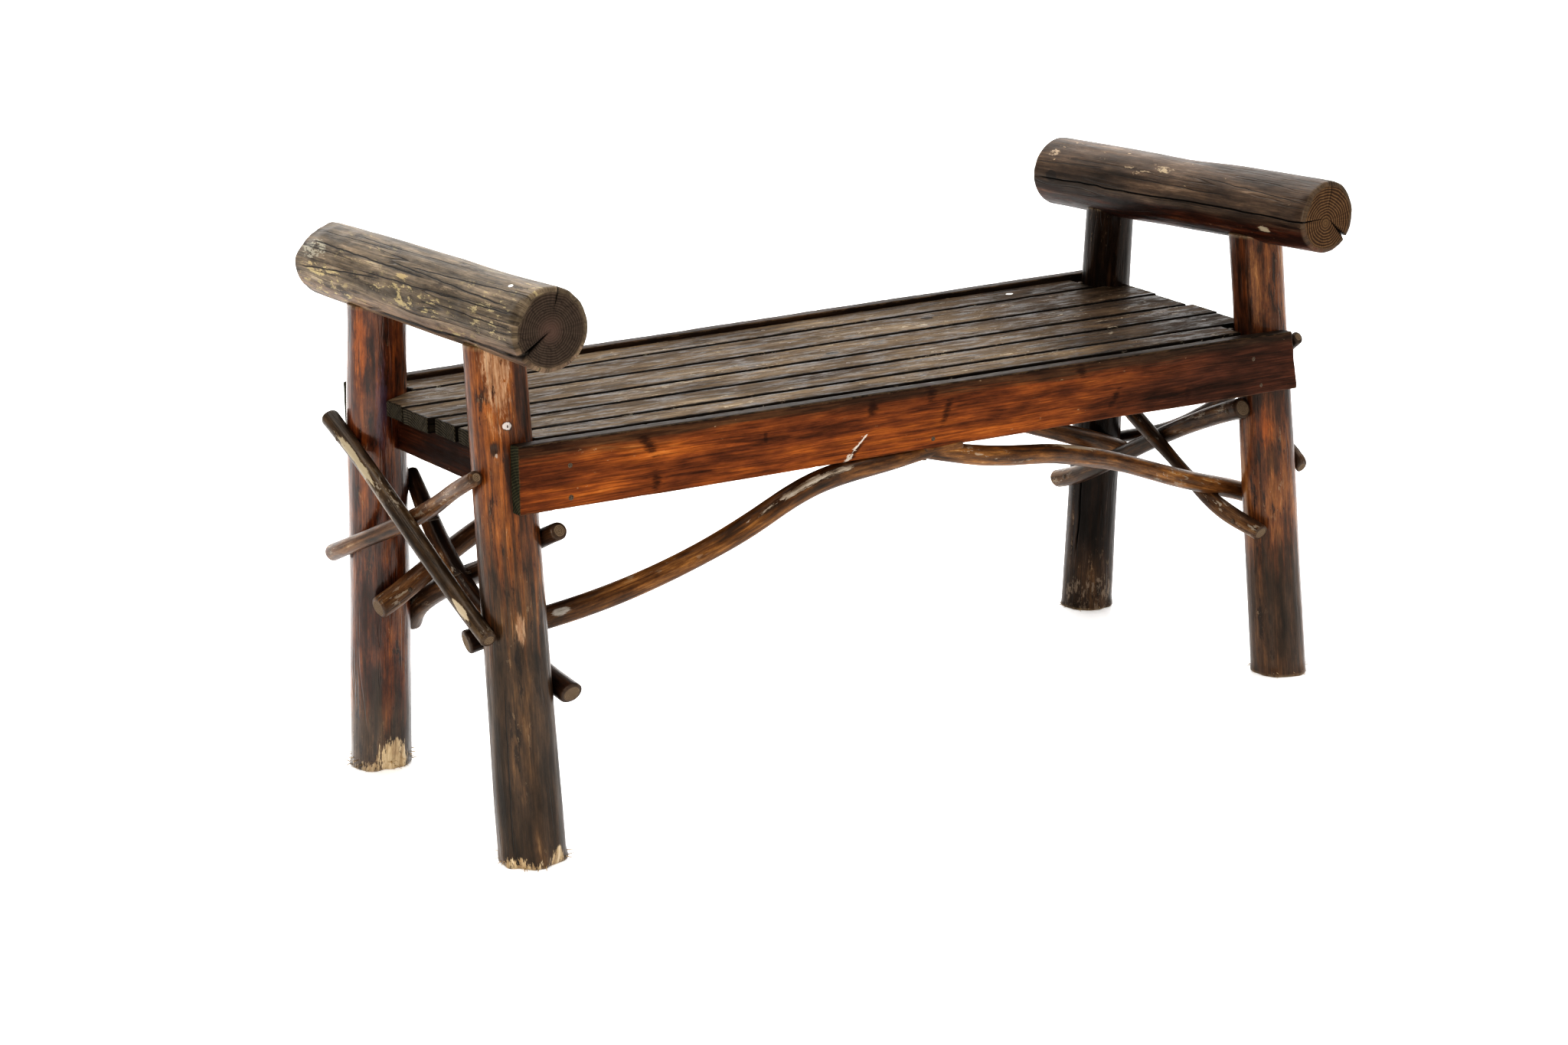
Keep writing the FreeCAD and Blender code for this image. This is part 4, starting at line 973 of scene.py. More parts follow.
def woodMaterial(name, look):
    material = bpy.data.materials.new(name)
    material.use_nodes = True
    tree = material.node_tree
    shader = tree.nodes["Principled BSDF"]
    grain = attribute(tree, "grain", "Vector")
    fibre = useGroup(tree, "fibre", Grain=grain, Seed=look["seed"], Swirl=look["swirl"])
    cut = attribute(tree, "cut")
    colour, flakes, dents = skinColour(tree, look, grain, fibre)
    colour = covered(colour, cut, endColour(tree, look, grain))
    if "rim" in look["end"]:
        rim = times(attribute(tree, "rim"), mapped(fibre["Flake"], 0.3, 0.6))
        colour = covered(colour, rim, look["end"]["rim"], look["end"].get("rimStrength", 0.6))
    colour = covered(colour, attribute(tree, "crack"), crackColour, 0.97)
    tree.links.new(colour, shader.inputs["Base Color"])

    # gloss: duller in patches, on flakes and on cut ends, with a coat of varnish where there is any left
    shader.inputs["Specular IOR Level"].default_value = look.get("shine", 0.25)
    shader.inputs["Specular Tint"].default_value = varnishTint
    rough = blended(0.5, fibre["Flake"], fibre["Fine"])
    rough = mapped(rough, 0.35, 0.65, *look["gloss"], smooth=False)
    if "patchy" in look:
        rough = plus(rough, mapped(fibre["Mottle"], 0.42, 0.56, 0.0, look["patchy"]))
    rough = calc("MAXIMUM", rough, times(cut, 0.7))
    tree.links.new(rough, shader.inputs["Roughness"])
    if look["coat"]:
        whole = less(1.0, calc("MAXIMUM", cut, flakes))
        patchy = mapped(fibre["Broad"], 0.3, 0.6, look["coat"] * 0.5, look["coat"])
        tree.links.new(times(whole, patchy), shader.inputs["Coat Weight"])
        shader.inputs["Coat Roughness"].default_value = look["coatRough"]

    height = times(fibre["Fine"], bumpShares["Fine"])
    for label in ("Streak", "Flake"):
        height = timesPlus(fibre[label], bumpShares[label], height)
    height = timesPlus(dents, bumpShares["dent"], height)
    bump = addNode(tree, "ShaderNodeBump", {"Height": height, "Strength": look["bump"],
                                            "Distance": bumpShares["distance"]})
    for label in ("Normal", "Coat Normal"):
        tree.links.new(bump.outputs[0], shader.inputs[label])
    return material


def plainMaterial(name, colour, roughness, glow):
    material = bpy.data.materials.new(name)
    material.use_nodes = True
    shader = material.node_tree.nodes["Principled BSDF"]
    shader.inputs["Emission Color"].default_value = (1, 1, 1, 1)
    shader.inputs["Emission Strength"].default_value = glow
    shader.inputs["Base Color"].default_value = colour
    shader.inputs["Roughness"].default_value = roughness
    return material


def speckledMaterial(name, look):
    # a noise on Object coordinates gives the colour, the roughness and a fine bump
    material = bpy.data.materials.new(name)
    material.use_nodes = True
    tree = material.node_tree
    shader = tree.nodes["Principled BSDF"]
    place = addNode(tree, "ShaderNodeTexCoord").outputs["Object"]
    speckle = stretchedNoise(place, look["scale"], look["seed"], 4.0, 0.65)
    tree.links.new(ramp(speckle, look["colours"]), shader.inputs["Base Color"])
    rough = mapped(speckle, 0.35, 0.65, *look["gloss"], smooth=False)
    tree.links.new(rough, shader.inputs["Roughness"])
    shader.inputs["Metallic"].default_value = look["metallic"]
    bump = addNode(tree, "ShaderNodeBump", {"Height": speckle, "Strength": look["bump"], "Distance": 0.0004})
    tree.links.new(bump.outputs[0], shader.inputs["Normal"])
    return material


# How the pieces look

def shades(*colours, at=(0.0, 0.3, 0.55, 0.8, 1.0)):
    # colours from dark to pale, each with its place on a ramp
    return list(zip(at, colours))


threeSteps = (0.0, 0.5, 1.0)
darkSteps = (0.0, 0.35, 0.6, 0.85, 1.0)
speckleSteps = (0.3, 0.5, 0.7)
markSteps = (0.36, 0.46, 0.56, 0.66)


def zone(axis, none, full, ragged, colours, strength=1.0):
    # other colours over part of a piece, from none to full between two places on an axis
    return dict(axis=axis, none=none, full=full, ragged=ragged, colours=colours, strength=strength)


def logSpot(along, angle, reach, radius=0.0325, **look):
    # a spot on a round log, from its place along it and the angle round it
    turn = math.radians(angle)
    return dict(look, at=(along, radius * math.cos(turn), radius * math.sin(turn)), reach=(*reach, reach[1]))


steel = speckledMaterial("steel", {
    "scale": (900, 900, 900), "seed": 5.0, "gloss": (0.6, 0.35), "metallic": 0.45, "bump": 0.5,
    "colours": shades((40, 28, 20), (78, 63, 48), (112, 98, 80), at=speckleSteps)})
hidden = speckledMaterial("hiddenWood", {
    "scale": (160, 160, 9), "seed": 8.0, "gloss": (0.55, 0.75), "metallic": 0.0, "bump": 0.3,
    "colours": shades((112, 80, 50), (148, 112, 76), (178, 144, 104), at=speckleSteps)})

# Legs: glossy varnish over orange and dark streaks above, weathered grey-brown below, pale raw feet
legUpper = shades((24, 12, 7), (64, 33, 16), (108, 60, 27), (152, 92, 40), (196, 148, 98),
                  at=(0.0, 0.25, 0.5, 0.75, 1.0))
legLower = shades((18, 12, 8), (46, 33, 22), (70, 51, 35), (96, 70, 45), (134, 104, 72))
legGlossy = shades((14, 5, 5), (50, 20, 14), (94, 48, 24), (140, 80, 36), (172, 120, 78))
legDark = shades((8, 5, 4), (22, 13, 9), (38, 24, 16), (60, 41, 28), (88, 68, 50), at=darkSteps)
footPale = shades((96, 74, 50), (168, 142, 106), (206, 184, 148), (232, 216, 188),
                  at=(0.36, 0.46, 0.54, 0.64))
rawPale = shades((104, 66, 42), (152, 112, 80), (192, 162, 132), (216, 196, 174), at=markSteps)
# orange patches; near the top of the back left leg this orange is a painted highlight
orangePatchAndHighlight = shades((66, 30, 14), (112, 58, 24), (160, 88, 32), (206, 136, 58), at=markSteps)
tanPatch = shades((56, 30, 18), (100, 60, 32), (144, 98, 54), (194, 152, 98), at=markSteps)
legBase = {
    "gloss": (0.3, 0.5), "coat": 0.4, "coatRough": 0.1, "shine": 0.3, "mix": (0.42, 0.32, 0.26, 0),
    "swirl": 0.008, "checks": 0.3, "bump": 0.7, "stain": {"level": 0.45, "colour": (20, 9, 6)},
    "flake": {"level": 0.6, "from": 0.48, "colour": (150, 128, 104), "strength": 0.5},
    "end": {"colours": shades((120, 96, 66), (168, 142, 104), (206, 184, 150), at=threeSteps),
            "rim": (150, 132, 104)},
}
legs = {
    "leg_front_left": {
        "seed": 3.0, "lines": [(0.01, 30, 0.2, 36, 0.0012)],
        "colours": legUpper, "zones": [zone(0, 0.43, 0.22, 0.5, legLower)],
        "spots": [
            logSpot(0.53, 62, (0.066, 0.017), colours=rawPale, strength=0.85, ragged=1.2, soft=0.6,
                    speckle=0.38),
            logSpot(0.468, 76, (0.006, 0.007), colour=(38, 20, 14), ragged=0.6, soft=0.4),
            logSpot(0.468, 76, (0.0042, 0.0052), colour=(204, 196, 190), ragged=0.4),
            logSpot(0.4675, 77, (0.0018, 0.001), colour=(52, 40, 36), ragged=0.5),
            logSpot(0.444, 51, (0.01, 0.006), colour=(26, 15, 11), ragged=0.9, soft=0.5),
            logSpot(0.438, 53, (0.003, 0.002), colour=(168, 150, 136), ragged=0.9, soft=0.5),
            logSpot(0.258, 72, (0.02, 0.006), colours=rawPale, strength=0.7, ragged=1.2, soft=0.6),
            logSpot(0.006, 112, (0.016, 0.01), 0.036, colours=footPale, ragged=0.9, speckle=0.4),
            logSpot(0.002, 40, (0.011, 0.022), 0.036, colours=footPale, ragged=1.2, speckle=0.44),
        ]},
    "leg_back_left": {
        "seed": 9.0, "coat": 0.9, "colours": legGlossy, "zones": [zone(0, 0.14, 0.04, 0.3, legLower)],
        "spots": [
            # painted highlight: a bright orange-yellow patch near the top of the leg
            logSpot(0.509, 32, (0.07, 0.012), colours=orangePatchAndHighlight, strength=0.75, ragged=1.2, soft=0.8),
            # painted highlight: a faint purple sheen down the leg
            logSpot(0.43, 72, (0.07, 0.009), colour=(104, 84, 104), strength=0.35, ragged=1.2, soft=0.8),
            logSpot(0.01, 88, (0.03, 0.019), 0.0345, colours=footPale, ragged=1.0, speckle=0.38),
            logSpot(0.006, 30, (0.008, 0.02), 0.0345, colours=footPale, strength=0.7, ragged=1.2,
                    speckle=0.45),
        ]},
    "leg_front_right": {
        "seed": 14.0, "zones": [zone(0, 0.22, 0.12, 0.3, legLower, 0.8)],
        "colours": shades((20, 10, 7), (60, 32, 18), (98, 56, 30), (138, 88, 48), (172, 126, 82)),
        "spots": [
            logSpot(0.3185, 42, (0.035, 0.014), colours=orangePatchAndHighlight, strength=0.8, ragged=1.3, soft=0.8),
            logSpot(0.239, -10, (0.03, 0.006), colours=tanPatch, strength=0.8, ragged=1.0, soft=0.6),
            logSpot(0.49, 45, (0.06, 0.014), colours=tanPatch, strength=0.7, ragged=1.4, soft=0.8),
            logSpot(0.38, 70, (0.03, 0.02), colour=(20, 10, 16), strength=0.6, ragged=1.4, soft=0.8),
            logSpot(0.28, 60, (0.03, 0.016), colour=(26, 16, 12), strength=0.6, ragged=1.4, soft=0.8),
        ]},
    "leg_back_right": {
        "seed": 21.0, "shine": 0.12, "coat": 0.25,
        "colours": legDark, "zones": [zone(0, 0.1, 0.0, 0.2, legLower)],
        "spots": [logSpot(0.02, 60, (0.03, 0.04), colour=(120, 104, 88), ragged=1.2, speckle=0.5)]},
}
legLook = {"step": 0.0025, "lump": 0.0011, "ridge": 0.00035, "saw": 0.0002, "endRound": 0.0022,
           "faceRings": 14, "fray": 0.0016}
footWear = {"Height": 0.009, "Density": 14000.0, "Length": 0.009, "Thickness": 0.0006}
legRelief = {
    "leg_front_left": {
        "seed": 3, "fibres": footWear,
        "knots": [{"at": 0.468, "angle": 76, "size": 0.007, "height": 0.0012},
                  {"at": 0.444, "angle": 51, "size": 0.011, "height": 0.0012},
                  {"at": 0.258, "angle": 72, "size": 0.014, "height": 0.0009}],
        "chips": [{"end": 0, "angle": 108, "spread": 24, "depth": 0.004, "length": 0.016},
                  {"end": 0, "angle": 45, "spread": 20, "depth": 0.003, "length": 0.012}]},
    "leg_back_left": {
        "seed": 9, "fibres": dict(footWear, Height=0.014, Density=22000.0),
        "chips": [{"end": 0, "angle": 85, "spread": 34, "depth": 0.005, "length": 0.03}]},
    "leg_front_right": {
        "seed": 14, "fibres": footWear,
        "knots": [{"at": 0.44, "angle": 60, "size": 0.014, "height": 0.0008}]},
    "leg_back_right": {
        "seed": 21, "fibres": footWear,
        "cracks": [{"angle": 19, "start": 0.18, "end": 0.42, "width": 0.003, "depth": 0.004}]},
}
for node, look in legs.items():
    material = woodMaterial(camel(node), dict(legBase, **look))
    buildLog(camel(node), node, dict(legLook, **legRelief[node]), material, (0, 0, 1))
print("legs built")

# Arm logs: weathered tops with long checks, sawn ends with rings and a crack from the heart to the rim
armLook = {"step": 0.0024, "lump": 0.0017, "ridge": 0.00045, "saw": 0.00025, "endRound": 0.004,
           "faceRings": 18}
leftUnder = shades((62, 45, 36), (112, 90, 72), (140, 115, 94), (172, 146, 122), at=(0.0, 0.4, 0.7, 1.0))
rightUnder = shades((12, 4, 3), (42, 16, 10), (82, 38, 20), (132, 84, 50), at=(0.0, 0.45, 0.75, 1.0))
leftRadius, rightRadius = 0.042, 0.0435
arms = {
    "arm_left": {
        "relief": {
            "seed": 31,
            "cracks": [{"angle": -37, "start": 0, "end": 0.03, "width": 0.006, "depth": 0.008,
                        "faceStart": 0.03, "faceDepth": 0.006},
                       {"angle": -40, "start": 0.05, "end": 0.6, "width": 0.0032, "depth": 0.003},
                       {"angle": 104, "start": 0, "end": 0.02, "width": 0.0016, "depth": 0.002,
                        "faceStart": 0.62, "faceDepth": 0.002}],
            "knots": [{"at": 0.1, "angle": 10, "size": 0.02, "height": 0.0012},
                      {"at": 0.4, "angle": 60, "size": 0.03, "height": 0.0014}],
            "chips": [{"end": 1, "angle": 52, "spread": 48, "depth": 0.0055, "length": 0.045},
                      {"end": 0, "angle": 35, "spread": 26, "depth": 0.0025, "length": 0.012}]},
        "seed": 31.0, "gloss": (0.45, 0.7), "coat": 0.12, "coatRough": 0.3, "checks": 0.75,
        "mix": (0.25, 0.35, 0.4, 0), "swirl": 0.008, "bump": 0.9, "fineDark": 0.5,
        "colours": shades((40, 33, 26), (78, 68, 55), (106, 93, 77), (134, 118, 98), (172, 156, 132)),
        "stain": {"level": 0.46, "colour": (46, 37, 31)},
        "flake": {"level": 0.55, "from": 0.5, "colour": (192, 178, 134), "strength": 0.75},
        "zones": [zone(2, -0.004, -0.026, 0.02, leftUnder, 0.85)],
        "end": {"pith": (0.0, -0.0012), "spacing": 0.0026, "heart": (88, 68, 60), "heartReach": 0.02,
                "colours": shades((38, 29, 24), (55, 45, 38), (78, 66, 57), at=threeSteps),
                "rim": (104, 90, 72), "rimStrength": 0.4},
        "lines": [(0.498, 42, 0.193, 37, 0.0016), (0.25, 46, 0.005, 58, 0.0013),
                  (0.299, 46, 0.02, 34, 0.0013), (0.498, -1, 0.3, 17, 0.0014), (0.36, 19, 0.0, 26, 0.0012),
                  (0.5, 62, 0.28, 66, 0.001), (0.42, 72, 0.16, 74, 0.001), (0.18, 8, 0.0, 5, 0.001),
                  (0.34, -46, -0.03, -32, 0.0034)],
        "spots": [
            logSpot(0.048, 67, (0.004, 0.0026), leftRadius, colour=(248, 246, 240), ragged=0.25),
            logSpot(0.47, 30, (0.035, 0.012), leftRadius, colour=(170, 165, 148), strength=0.7, ragged=1.0,
                    speckle=0.45),
            logSpot(0.44, 2, (0.05, 0.006), leftRadius, colour=(190, 172, 130), strength=0.7, ragged=1.2,
                    speckle=0.47),
            logSpot(0.25, 30, (0.013, 0.0035), leftRadius, colour=(184, 164, 118), strength=0.6, ragged=1.2),
            logSpot(0.22, 2, (0.09, 0.014), leftRadius, colour=(186, 170, 126), strength=0.65, ragged=1.3,
                    speckle=0.52),
            logSpot(0.05, 10, (0.05, 0.02), leftRadius, colour=(180, 166, 128), strength=0.6, ragged=1.3,
                    speckle=0.54),
        ]},
    "arm_right": {
        "relief": {
            "seed": 44,
            "cracks": [{"angle": -2, "start": 0, "end": 0.95, "width": 0.0022, "depth": 0.003,
                        "faceStart": 0.1, "faceDepth": 0.003},
                       {"angle": -138, "start": 0, "end": 0.1, "width": 0.007, "depth": 0.01,
                        "faceStart": 0.12, "faceDepth": 0.008},
                       {"angle": 96, "start": 0, "end": 0.02, "width": 0.0014, "depth": 0.002,
                        "faceStart": 0.3, "faceDepth": 0.002}],
            "knots": [{"at": 0.2, "angle": 40, "size": 0.03, "height": 0.0012}],
            "chips": [{"end": 0, "angle": 20, "spread": 24, "depth": 0.0025, "length": 0.012}]},
        "seed": 44.0, "gloss": (0.4, 0.62), "coat": 0.14, "coatRough": 0.22, "checks": 0.4,
        "mix": (0.36, 0.32, 0.32, 0), "swirl": 0.006, "bump": 0.6,
        "colours": shades((22, 16, 12), (48, 36, 28), (70, 55, 44), (92, 74, 59), (126, 105, 86)),
        "flake": {"level": 0.64, "from": 0.5, "colour": (196, 172, 140), "strength": 0.7},
        "zones": [zone(2, -0.006, -0.018, 0.03, rightUnder, 0.92)],
        "end": {"pith": (0.0036, -0.006), "spacing": 0.0034, "heart": (96, 74, 50), "heartReach": 0.01,
                "colours": shades((34, 20, 11), (58, 39, 23), (82, 59, 38), (116, 90, 62),
                                  at=(0.0, 0.35, 0.6, 1.0)),
                "rim": (108, 90, 68), "rimStrength": 0.4, "ringWeight": 0.7},
        "lines": [(0.2, 45, 0.0, 28, 0.001), (0.36, 22, 0.12, 19, 0.0009), (0.5, 24, 0.36, 30, 0.001)],
        "spots": [
            logSpot(0.067, -25, (0.01, 0.0045), rightRadius, colour=(170, 158, 136), ragged=0.9),
            logSpot(0.47, 44, (0.009, 0.006), rightRadius, colour=(164, 146, 124), ragged=1.3, speckle=0.5),
            logSpot(0.26, 46, (0.02, 0.0045), rightRadius, colour=(160, 144, 118), ragged=1.3, speckle=0.48),
            logSpot(0.3, 34, (0.03, 0.006), rightRadius, colour=(160, 142, 116), ragged=1.4, speckle=0.54),
            logSpot(0.46, 2, (0.012, 0.008), rightRadius, colour=(24, 18, 16), ragged=0.5),
        ]},
}
for node, look in arms.items():
    material = woodMaterial(camel(node), look)
    buildLog(camel(node), node, dict(armLook, **look["relief"]), material, (0, 1, 0))
print("arms built")

# Slats: grey and worn on the left, darker and wetter on the right, with painted shade on their sides and
# along their top edges, where the gaps between them are
slatColours = shades((28, 20, 13), (62, 49, 36), (92, 76, 57), (118, 101, 79), (158, 142, 119))
slatRight = shades((16, 10, 6), (38, 27, 17), (58, 43, 29), (80, 63, 45), (112, 94, 72), at=darkSteps)
# painted shade for the sides of the slats, in the gaps between them
slatSidePaintedShade = shades((10, 8, 6), (27, 23, 18), (54, 47, 38), at=threeSteps)
slatBase = {
    "gloss": (0.24, 0.6), "coat": 0.04, "coatRough": 0.12, "shine": 0.11, "patchy": 0.4,
    "mix": (0.4, 0.3, 0.28, 0.02), "spread": 0.15, "swirl": 0.004, "checks": 0.6, "bump": 0.7,
    "colours": slatColours, "stain": {"level": 0.44, "colour": (22, 17, 13)},
    # painted shade: a near-black band along the top edges, for the gaps between slats
    "worn": {"reach": 0.0034, "colour": (20, 15, 11), "strength": 0.92},
    # the second zone is painted shade: near black on every face of a slat below its top face
    "zones": [zone(0, 0.1, 0.4, 0.5, slatRight, 0.9), zone(2, 0.0085, 0.0072, 0.001, slatSidePaintedShade, 0.96)],
    "flake": {"level": 0.6, "from": 0.45, "colour": (176, 166, 148), "strength": 0.5},
    "end": {"colours": shades((20, 18, 14), (46, 42, 34), (76, 70, 58), at=threeSteps), "spacing": 0.003,
            "pith": (0.02, -0.05)},
}
slatSeeds = {"slat_back": 81, "slat_second": 84, "slat_third": 88, "slat_fourth": 93, "slat_fifth": 97,
             "slat_front": 102}
slatTop = 0.0085
slatSpots = {
    "slat_second": [{"at": (0.2, 0.01, slatTop), "reach": (0.01, 0.006, 0.02), "colour": (30, 24, 20)}],
    "slat_third": [{"at": (0.0, -0.012, slatTop), "reach": (0.01, 0.006, 0.02), "colour": (28, 22, 18)}],
    "slat_back": [{"at": (0.37, 0.0, slatTop), "reach": (0.006, 0.004, 0.01), "colour": (240, 240, 236),
                   "ragged": 0.3}],
}

# Aprons: varnished faces that darken to the right, darker top edges, dark knots and one torn splinter
apronColours = shades((46, 24, 15), (92, 50, 29), (130, 73, 38), (164, 96, 44), (192, 124, 64))
apronRight = shades((28, 17, 12), (62, 37, 27), (86, 51, 37), (106, 62, 40), (130, 86, 56), at=darkSteps)
apronTop = shades((22, 18, 14), (52, 40, 30), (88, 70, 52), at=threeSteps)
apronEdge = shades((12, 9, 7), (34, 26, 19), (58, 46, 34), at=threeSteps)
apronBase = {
    "gloss": (0.4, 0.6), "coat": 0.0, "shine": 0.1, "mix": (0.38, 0.28, 0.32, 0.02), "spread": 0.14,
    "swirl": 0.004, "checks": 0.15, "fineDark": 0.5, "bump": 0.5, "colours": apronColours,
    "worn": {"reach": 0.0012, "colour": (104, 84, 62), "strength": 0.3},
    "flake": {"level": 0.66, "from": 0.45, "colour": (180, 160, 132), "strength": 0.5},
    "end": {"colours": shades((22, 25, 18), (44, 45, 34), (70, 68, 52), at=threeSteps), "spacing": 0.003,
            "pith": (-0.06, 0.03)},
}
apronRightZone = zone(0, 0.1, 0.42, 0.4, apronRight)
apronFace = {"depth": -0.0085, "reach": 0.03}


def apronSpot(x, up, reach, **look):
    usual = {"colour": (34, 15, 9), "ragged": 0.75, "soft": 0.5, "strength": 0.85}
    return dict(usual, at=(x, up, apronFace["depth"]), reach=(*reach, apronFace["reach"]), **look)


aprons = {
    "apron_front": {
        "seed": 61.0,
        "zones": [apronRightZone, zone(1, 0.016, 0.03, 0.045, apronTop, 0.85),
                  zone(1, 0.0338, 0.035, 0.002, apronEdge, 0.95)],
        "spots": [
            apronSpot(-0.385, 0.018, (0.013, 0.022), lean=-0.6), apronSpot(-0.377, -0.022, (0.01, 0.016)),
            apronSpot(0.002, 0.004, (0.009, 0.022), lean=0.4),
            apronSpot(0.194, 0.03, (0.012, 0.018), lean=-0.5),
            apronSpot(0.247, -0.012, (0.009, 0.018), lean=0.5), apronSpot(-0.02, 0.028, (0.012, 0.018)),
            apronSpot(-0.1, 0.02, (0.01, 0.014)), apronSpot(-0.5, 0.034, (0.03, 0.01), strength=0.6),
            apronSpot(-0.24, 0.006, (0.004, 0.01), strength=0.6),
            apronSpot(0.36, -0.02, (0.008, 0.012), strength=0.7),
            apronSpot(-0.123, -0.025, (0.007, 0.017), lean=0.95, colour=(30, 16, 11), ragged=0.8),
            apronSpot(-0.127, -0.026, (0.0045, 0.017), lean=0.9, soft=0.2, strength=0.9, speckle=0.42,
                      colour=(196, 188, 176), ragged=1.7),
            apronSpot(-0.117, -0.017, (0.0022, 0.012), lean=1.1, soft=0.2, strength=0.9,
                      colour=(206, 198, 188), ragged=1.1),
        ]},
    "apron_back": {
        "seed": 72.0, "zones": [apronRightZone, zone(1, 0.018, 0.028, 0.02, apronEdge, 0.95)],
        "spots": [apronSpot(-0.3, 0.01, (0.012, 0.016)), apronSpot(0.12, -0.015, (0.01, 0.014)),
                  apronSpot(0.33, 0.02, (0.01, 0.012))]},
}
bearerBase = dict(apronBase, colours=shades((14, 6, 4), (42, 20, 11), (70, 36, 19), (104, 66, 42),
                                            at=(0.0, 0.4, 0.7, 1.0)))
boardShape = {"slat": {"arris": 0.0013, "ridge": 0.00034, "wander": 0.0014},
              "apron": {"arris": 0.0026, "ridge": 0.00022, "wander": 0.0012},
              "bearer": {"arris": 0.0022, "ridge": 0.00025, "wander": 0.001}}
for node in sorted(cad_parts):
    kind = node.split("_")[0]
    if kind not in boardShape or node.endswith("nails"):
        continue
    if kind == "slat":
        look = dict(slatBase, seed=float(slatSeeds[node]), spots=slatSpots.get(node, []))
    elif kind == "apron":
        look = dict(apronBase, **aprons[node])
    else:
        look = dict(bearerBase, seed=110.0 + len(node))
    shape = dict(boardShape[kind], seed=look["seed"])
    buildBoard(camel(node), node, kind, shape, woodMaterial(camel(node), look))
print("boards built")

# Branches: five colourings, from amber varnish to grey bark, with flakes and scars
branchColours = shades((16, 10, 7), (44, 29, 20), (74, 51, 34), (112, 80, 50), (156, 124, 88))
branchAmber = shades((16, 9, 6), (68, 42, 22), (110, 72, 36), (156, 109, 58), (198, 164, 118))
branchWarm = shades((20, 12, 8), (58, 38, 24), (90, 60, 37), (124, 90, 58), (164, 136, 104))
branchDark = shades((12, 8, 8), (34, 22, 17), (58, 37, 24), (92, 60, 34), (132, 100, 68))
branchPale = shades((16, 11, 7), (44, 32, 21), (70, 53, 36), (102, 82, 58), (148, 130, 104))
scarPale = shades((92, 74, 56), (156, 144, 128), (196, 190, 180), at=(0.38, 0.48, 0.58))
branchBase = {
    "gloss": (0.32, 0.55), "coat": 0.2, "shine": 0.3, "coatRough": 0.16, "mix": (0.35, 0.4, 0.25, 0),
    "swirl": 0.004, "checks": 0.25, "bump": 0.6,
    "end": {"colours": shades((62, 50, 40), (100, 84, 67), (142, 124, 102), at=threeSteps), "spacing": 0.0016,
            "rim": (60, 46, 36), "rimStrength": 0.9},
}
branchFlake = {"from": 0.5, "colour": (172, 162, 146), "strength": 0.75}
branchLook = {"step": 0.0022, "lump": 0.0008, "ridge": 0.0003, "saw": 0.00015, "endRound": 0.003,
              "faceRings": 8}
branches = {
    "arch_front_left": (branchAmber, 0.57, {
        "zones": [zone(0, 0.07, 0.03, 0.05, branchDark)],
        "spots": [logSpot(0.41, 140, (0.075, 0.0042), 0.0118, colours=scarPale, ragged=1.3, soft=0.4,
                          speckle=0.42),
                  logSpot(0.11, 150, (0.014, 0.005), 0.0118, colours=scarPale, ragged=1.1, soft=0.4)]}),
    "arch_front_right": (branchAmber, 0.58, {
        "spots": [logSpot(0.25, 110, (0.05, 0.005), 0.0113, colour=(168, 150, 126), ragged=1.3)]}),
    "arch_back_left": (branchWarm, 0.56, {}),
    "arch_back_right": (branchAmber, 0.6, {}),
    "brace_left_outer_falling": (branchPale, 0.55, {
        "spots": [logSpot(0.31, 20, (0.05, 0.005), 0.01, colour=(170, 158, 134), ragged=1.2),
                  logSpot(0.05, 20, (0.02, 0.004), 0.01, colour=(184, 170, 146), ragged=1.0)]}),
    "brace_left_outer_rising": (branchWarm, 0.58, {}),
    "brace_left_inner_falling": (branchDark, 0.58, {}),
    "brace_left_inner_rising": (branchColours, 0.57, {}),
    "brace_right_outer_falling": (branchColours, 0.58, {}),
    "brace_right_outer_rising": (branchDark, 0.58, {}),
    "brace_right_inner_falling": (branchColours, 0.57, {}),
    "brace_right_inner_rising": (branchColours, 0.56, {}),
}
for number, (node, (colours, flakes, marks)) in enumerate(branches.items()):
    flake = dict(branchFlake, level=flakes)
    look = dict(branchBase, seed=120.0 + 3 * number, colours=colours, flake=flake, **marks)
    material = woodMaterial(camel(node), look)
    buildLog(camel(node), node, dict(branchLook, seed=120 + number), material)
print("branches built")

for node in sorted(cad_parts):
    if node.endswith("nails"):
        buildNails(camel(node), node, steel)
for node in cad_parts.values():
    node.data.materials.clear()
    node.data.materials.append(hidden)
print("nails built")


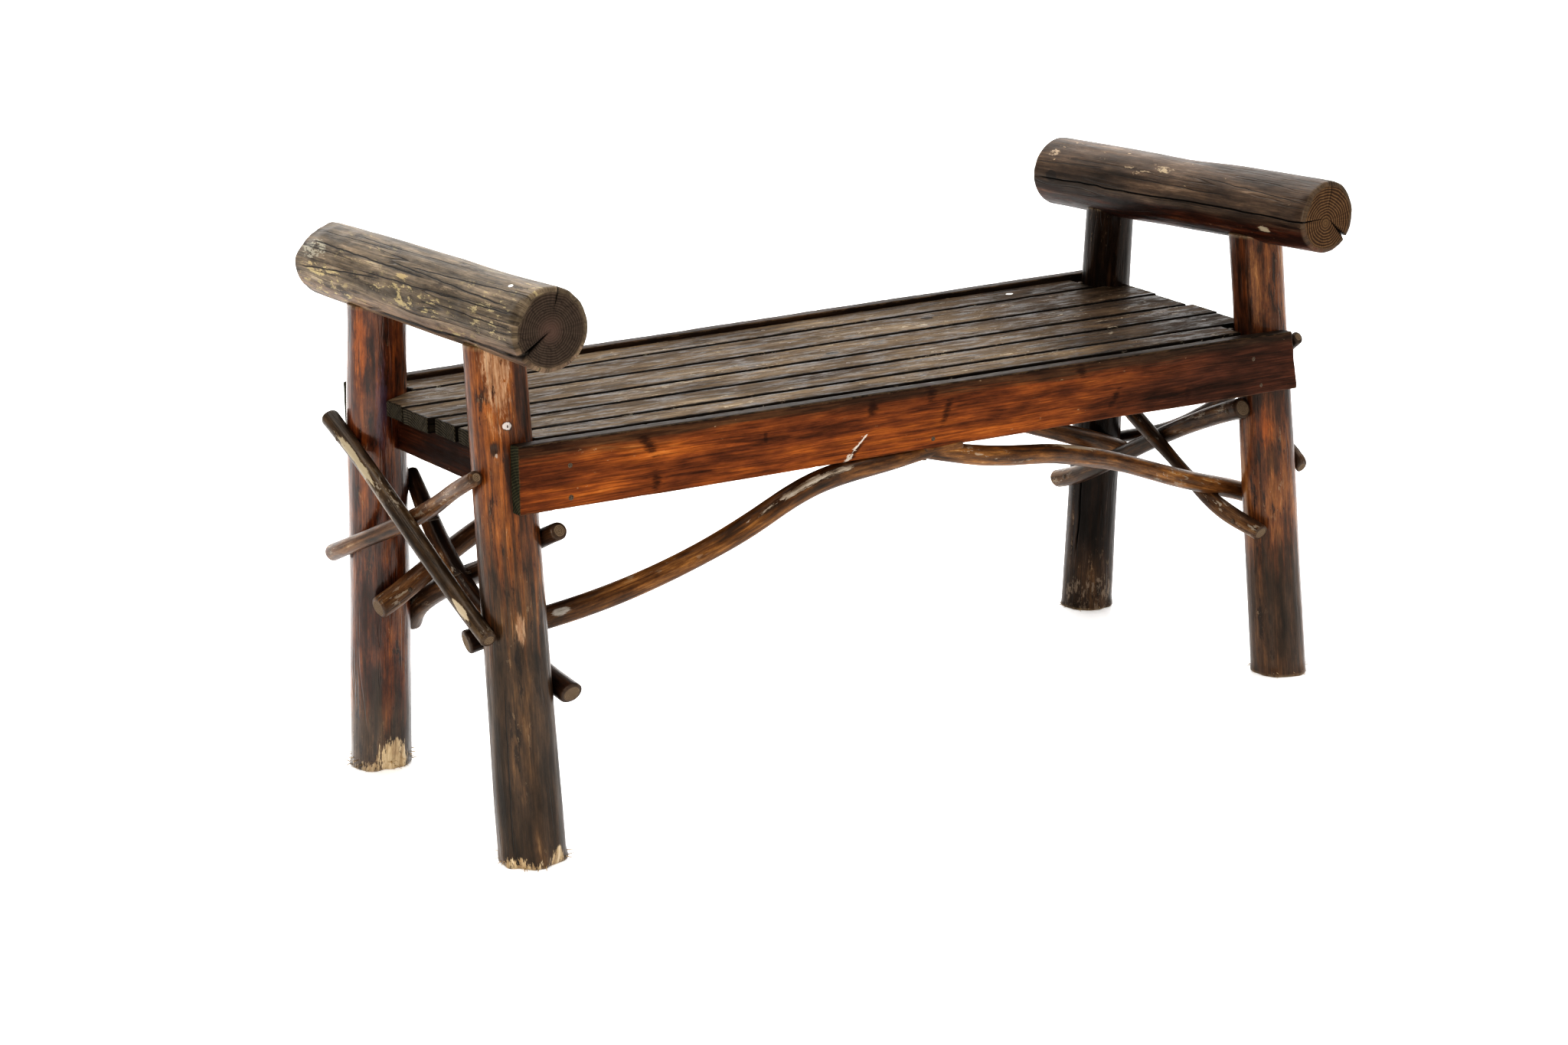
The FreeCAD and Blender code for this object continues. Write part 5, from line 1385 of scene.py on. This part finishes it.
def buildView():
    camera = bpy.data.cameras.new("camera")
    camera.lens = view["lens"]
    camera.sensor_width = view["sensor"]
    camera.clip_end = view["farthest"]
    turn, tilt, roll = (math.radians(view[key]) for key in ("turn", "tilt", "roll"))
    forward = Vector((math.sin(turn) * math.cos(tilt), math.cos(turn) * math.cos(tilt), -math.sin(tilt)))
    right = forward.cross(Vector((0, 0, 1))).normalized()
    down = forward.cross(right)
    rightRolled = math.cos(roll) * right + math.sin(roll) * down
    downRolled = forward.cross(rightRolled)
    placed = bpy.data.objects.new("camera", camera)
    placed.matrix_world = Matrix.Translation(view["place"]) @ Matrix(
        (rightRolled, -downRolled, -forward)).transposed().to_4x4()
    bpy.context.scene.collection.objects.link(placed)
    bpy.context.scene.camera = placed
    for name, light in lights.items():
        lamp = bpy.data.lights.new(name, "AREA")
        lamp.size = light["size"]
        lamp.energy = light["power"]
        lamp.color = light["colour"]
        spot = bpy.data.objects.new(name, lamp)
        spot.location = light["place"]
        spot.rotation_euler = (aimedAt - Vector(light["place"])).to_track_quat("-Z", "Y").to_euler()
        bpy.context.scene.collection.objects.link(spot)
    world = bpy.data.worlds.new("surround")
    world.use_nodes = True
    world.node_tree.nodes["Background"].inputs["Color"].default_value = (*surround["colour"], 1)
    world.node_tree.nodes["Background"].inputs["Strength"].default_value = surround["strength"]
    bpy.context.scene.world = world
    half = floorLook["size"] / 2
    mesh = bpy.data.meshes.new("floor")
    corners = [(-half, -half, 0), (half, -half, 0), (half, half, 0), (-half, half, 0)]
    mesh.from_pydata(corners, [], [(0, 1, 2, 3)])
    paint = plainMaterial("floor", (*floorLook["colour"], 1), floorLook["roughness"], floorLook["glow"])
    mesh.materials.append(paint)
    ground = bpy.data.objects.new("floor", mesh)
    # a bright wall behind the bench, square to the view
    ahead = Vector((math.sin(turn), math.cos(turn), 0))
    aside = Vector((ahead.y, -ahead.x, 0)) * backdrop["width"] / 2
    foot = ahead * backdrop["away"] - Vector((0, 0, backdrop["sunk"]))
    rise = Vector((0, 0, backdrop["height"]))
    mesh = bpy.data.meshes.new("backdrop")
    corners = [foot - aside, foot + aside, foot + aside + rise, foot - aside + rise]
    mesh.from_pydata(corners, [], [(0, 1, 2, 3)])
    mesh.materials.append(plainMaterial("backdrop", (1, 1, 1, 1), 1.0, backdrop["glow"]))
    wall = bpy.data.objects.new("backdrop", mesh)
    # a pale ring round the bench, for views from other sides: only the camera sees it
    sides = backdrop["ringSides"]
    turns = [2 * math.pi * i / sides for i in range(sides)]
    edge = [(backdrop["ringAway"] * math.cos(t), backdrop["ringAway"] * math.sin(t)) for t in turns]
    corners = [(x, y, z) for z in (-backdrop["sunk"], backdrop["height"]) for x, y in edge]
    mesh = bpy.data.meshes.new("ring")
    faces = [(i, (i + 1) % sides, (i + 1) % sides + sides, i + sides) for i in range(sides)]
    mesh.from_pydata(corners, [], faces)
    mesh.materials.append(plainMaterial("ring", (1, 1, 1, 1), 1.0, backdrop["glow"]))
    ring = bpy.data.objects.new("ring", mesh)
    ring.visible_diffuse = False
    ring.visible_glossy = False
    ring.visible_shadow = False
    for piece in (ground, wall, ring):
        bpy.context.scene.collection.objects.link(piece)


buildView()
bpy.context.scene.view_settings.view_transform = "Standard"
bpy.context.scene.view_settings.look = "High Contrast"
print("scene finished")
